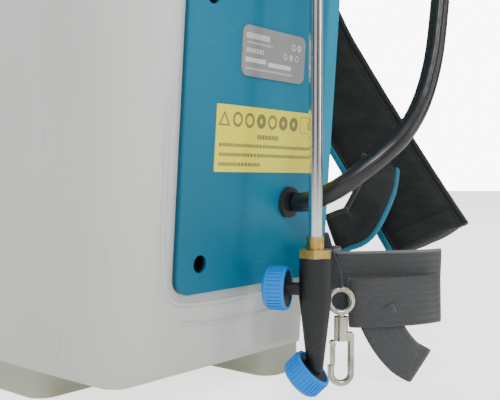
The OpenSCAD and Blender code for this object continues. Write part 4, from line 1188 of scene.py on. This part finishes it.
# For each bead its radius, and its run on the side face as (across, up), in millimetres.
BEAD_SINK = 0.35 * MM
BEAD_RUNS = (
    (1.5, ((-61, 150), (-60.5, 110), (-60, 72), (-56, 50), (-46, 41.5), (-20, 39.5), (15, 39.5),
              (50, 40.5))),
    (1.1, ((-44, 30.5), (-20, 27.5), (15, 27), (50, 28.5))))


def mould_beads():
    """Low raised lines on the side face, outside the lower corner of the cover."""
    for k, (radius, run) in enumerate(BEAD_RUNS):
        line = [on_side_face(y * MM, row * MM, -BEAD_SINK) for y, row in run]
        bead = tube_along(f"tank_bead_{k}", smooth_path(line, 2 * MM), radius * MM, 12, FACE_NORMAL)
        bead.data.materials.append(TANK_WALL)
        finish_piece(bead, "tank_plastic")


mould_beads()




# ---------------------------------------------------------------- floor and light

def make_floor():
    """A plain pale disc, far wider than the object."""
    sides = 96
    ring = [Vector((math.cos(a), math.sin(a), 0)) * 9.0
            for a in (2 * math.pi * k / sides for k in range(sides))]
    floor = add_piece("floor", ring, [tuple(range(sides))], smooth=False)
    mat, shade, place = begin("floor_paint")
    cloud = place.noise(1.5, 2.0)
    tint = flat(shade, rgb(250, 250, 250)).mix(rgb(244, 244, 244), cloud)
    close(mat, shade, tint, 0.75, Emission_Strength=1.8)
    seen = shade.node("ShaderNodeLightPath", None, None, "Is Camera Ray")
    glow = flat(shade, rgb(120, 120, 120)).mix(rgb(255, 255, 255), seen)
    shade.feed(mat.node_tree.nodes["Principled BSDF"].inputs["Emission Color"], glow)
    floor.data.materials.append(mat)


def soft_light(name, at, aim, size, power, colour=(1, 1, 1)):
    """A square soft light at one point, facing another."""
    lamp = bpy.data.lights.new(name, "AREA")
    lamp.shape = "RECTANGLE"
    lamp.size, lamp.size_y = size
    lamp.energy = power
    lamp.color = colour
    piece = bpy.data.objects.new(name, lamp)
    piece.location = at
    piece.rotation_euler = (Vector(aim) - Vector(at)).to_track_quat("-Z", "Y").to_euler()
    bpy.context.scene.collection.objects.link(piece)


def light_room():
    """A white room seen by the lens; what lights the object is softer, with dark gaps for the metal."""
    world = bpy.data.worlds.new("room")
    world.use_nodes = True
    bpy.context.scene.world = world
    shade = Shade(world.node_tree)
    x, y, z = shade.node("ShaderNodeTexCoord", None, None, "Generated").axes()
    turn = y.math("ARCTAN2", y, x)
    panels = (turn * 5.0 + 0.4).sine().rise(-0.3, 0.3)
    above = z.rise(0.1, 0.7)
    level = 0.10 + panels * 0.62 + above * 0.35
    seen = shade.node("ShaderNodeLightPath", None, None, "Is Camera Ray")
    room = world.node_tree.nodes["Background"]
    room.inputs["Color"].default_value = (1.0, 1.0, 1.0, 1.0)
    shade.feed(room.inputs["Strength"], level * (1.0 - seen) + seen * 9.0)
    middle = (0.1, 0.0, 0.2)
    soft_light("key", (1.5, -1.2, 1.6), middle, (0.9, 0.9), 24)
    soft_light("side", (1.9, 1.0, 0.8), middle, (0.3, 1.2), 7)
    soft_light("back", (-0.8, 1.8, 1.5), middle, (0.8, 0.8), 10)


make_floor()
light_room()
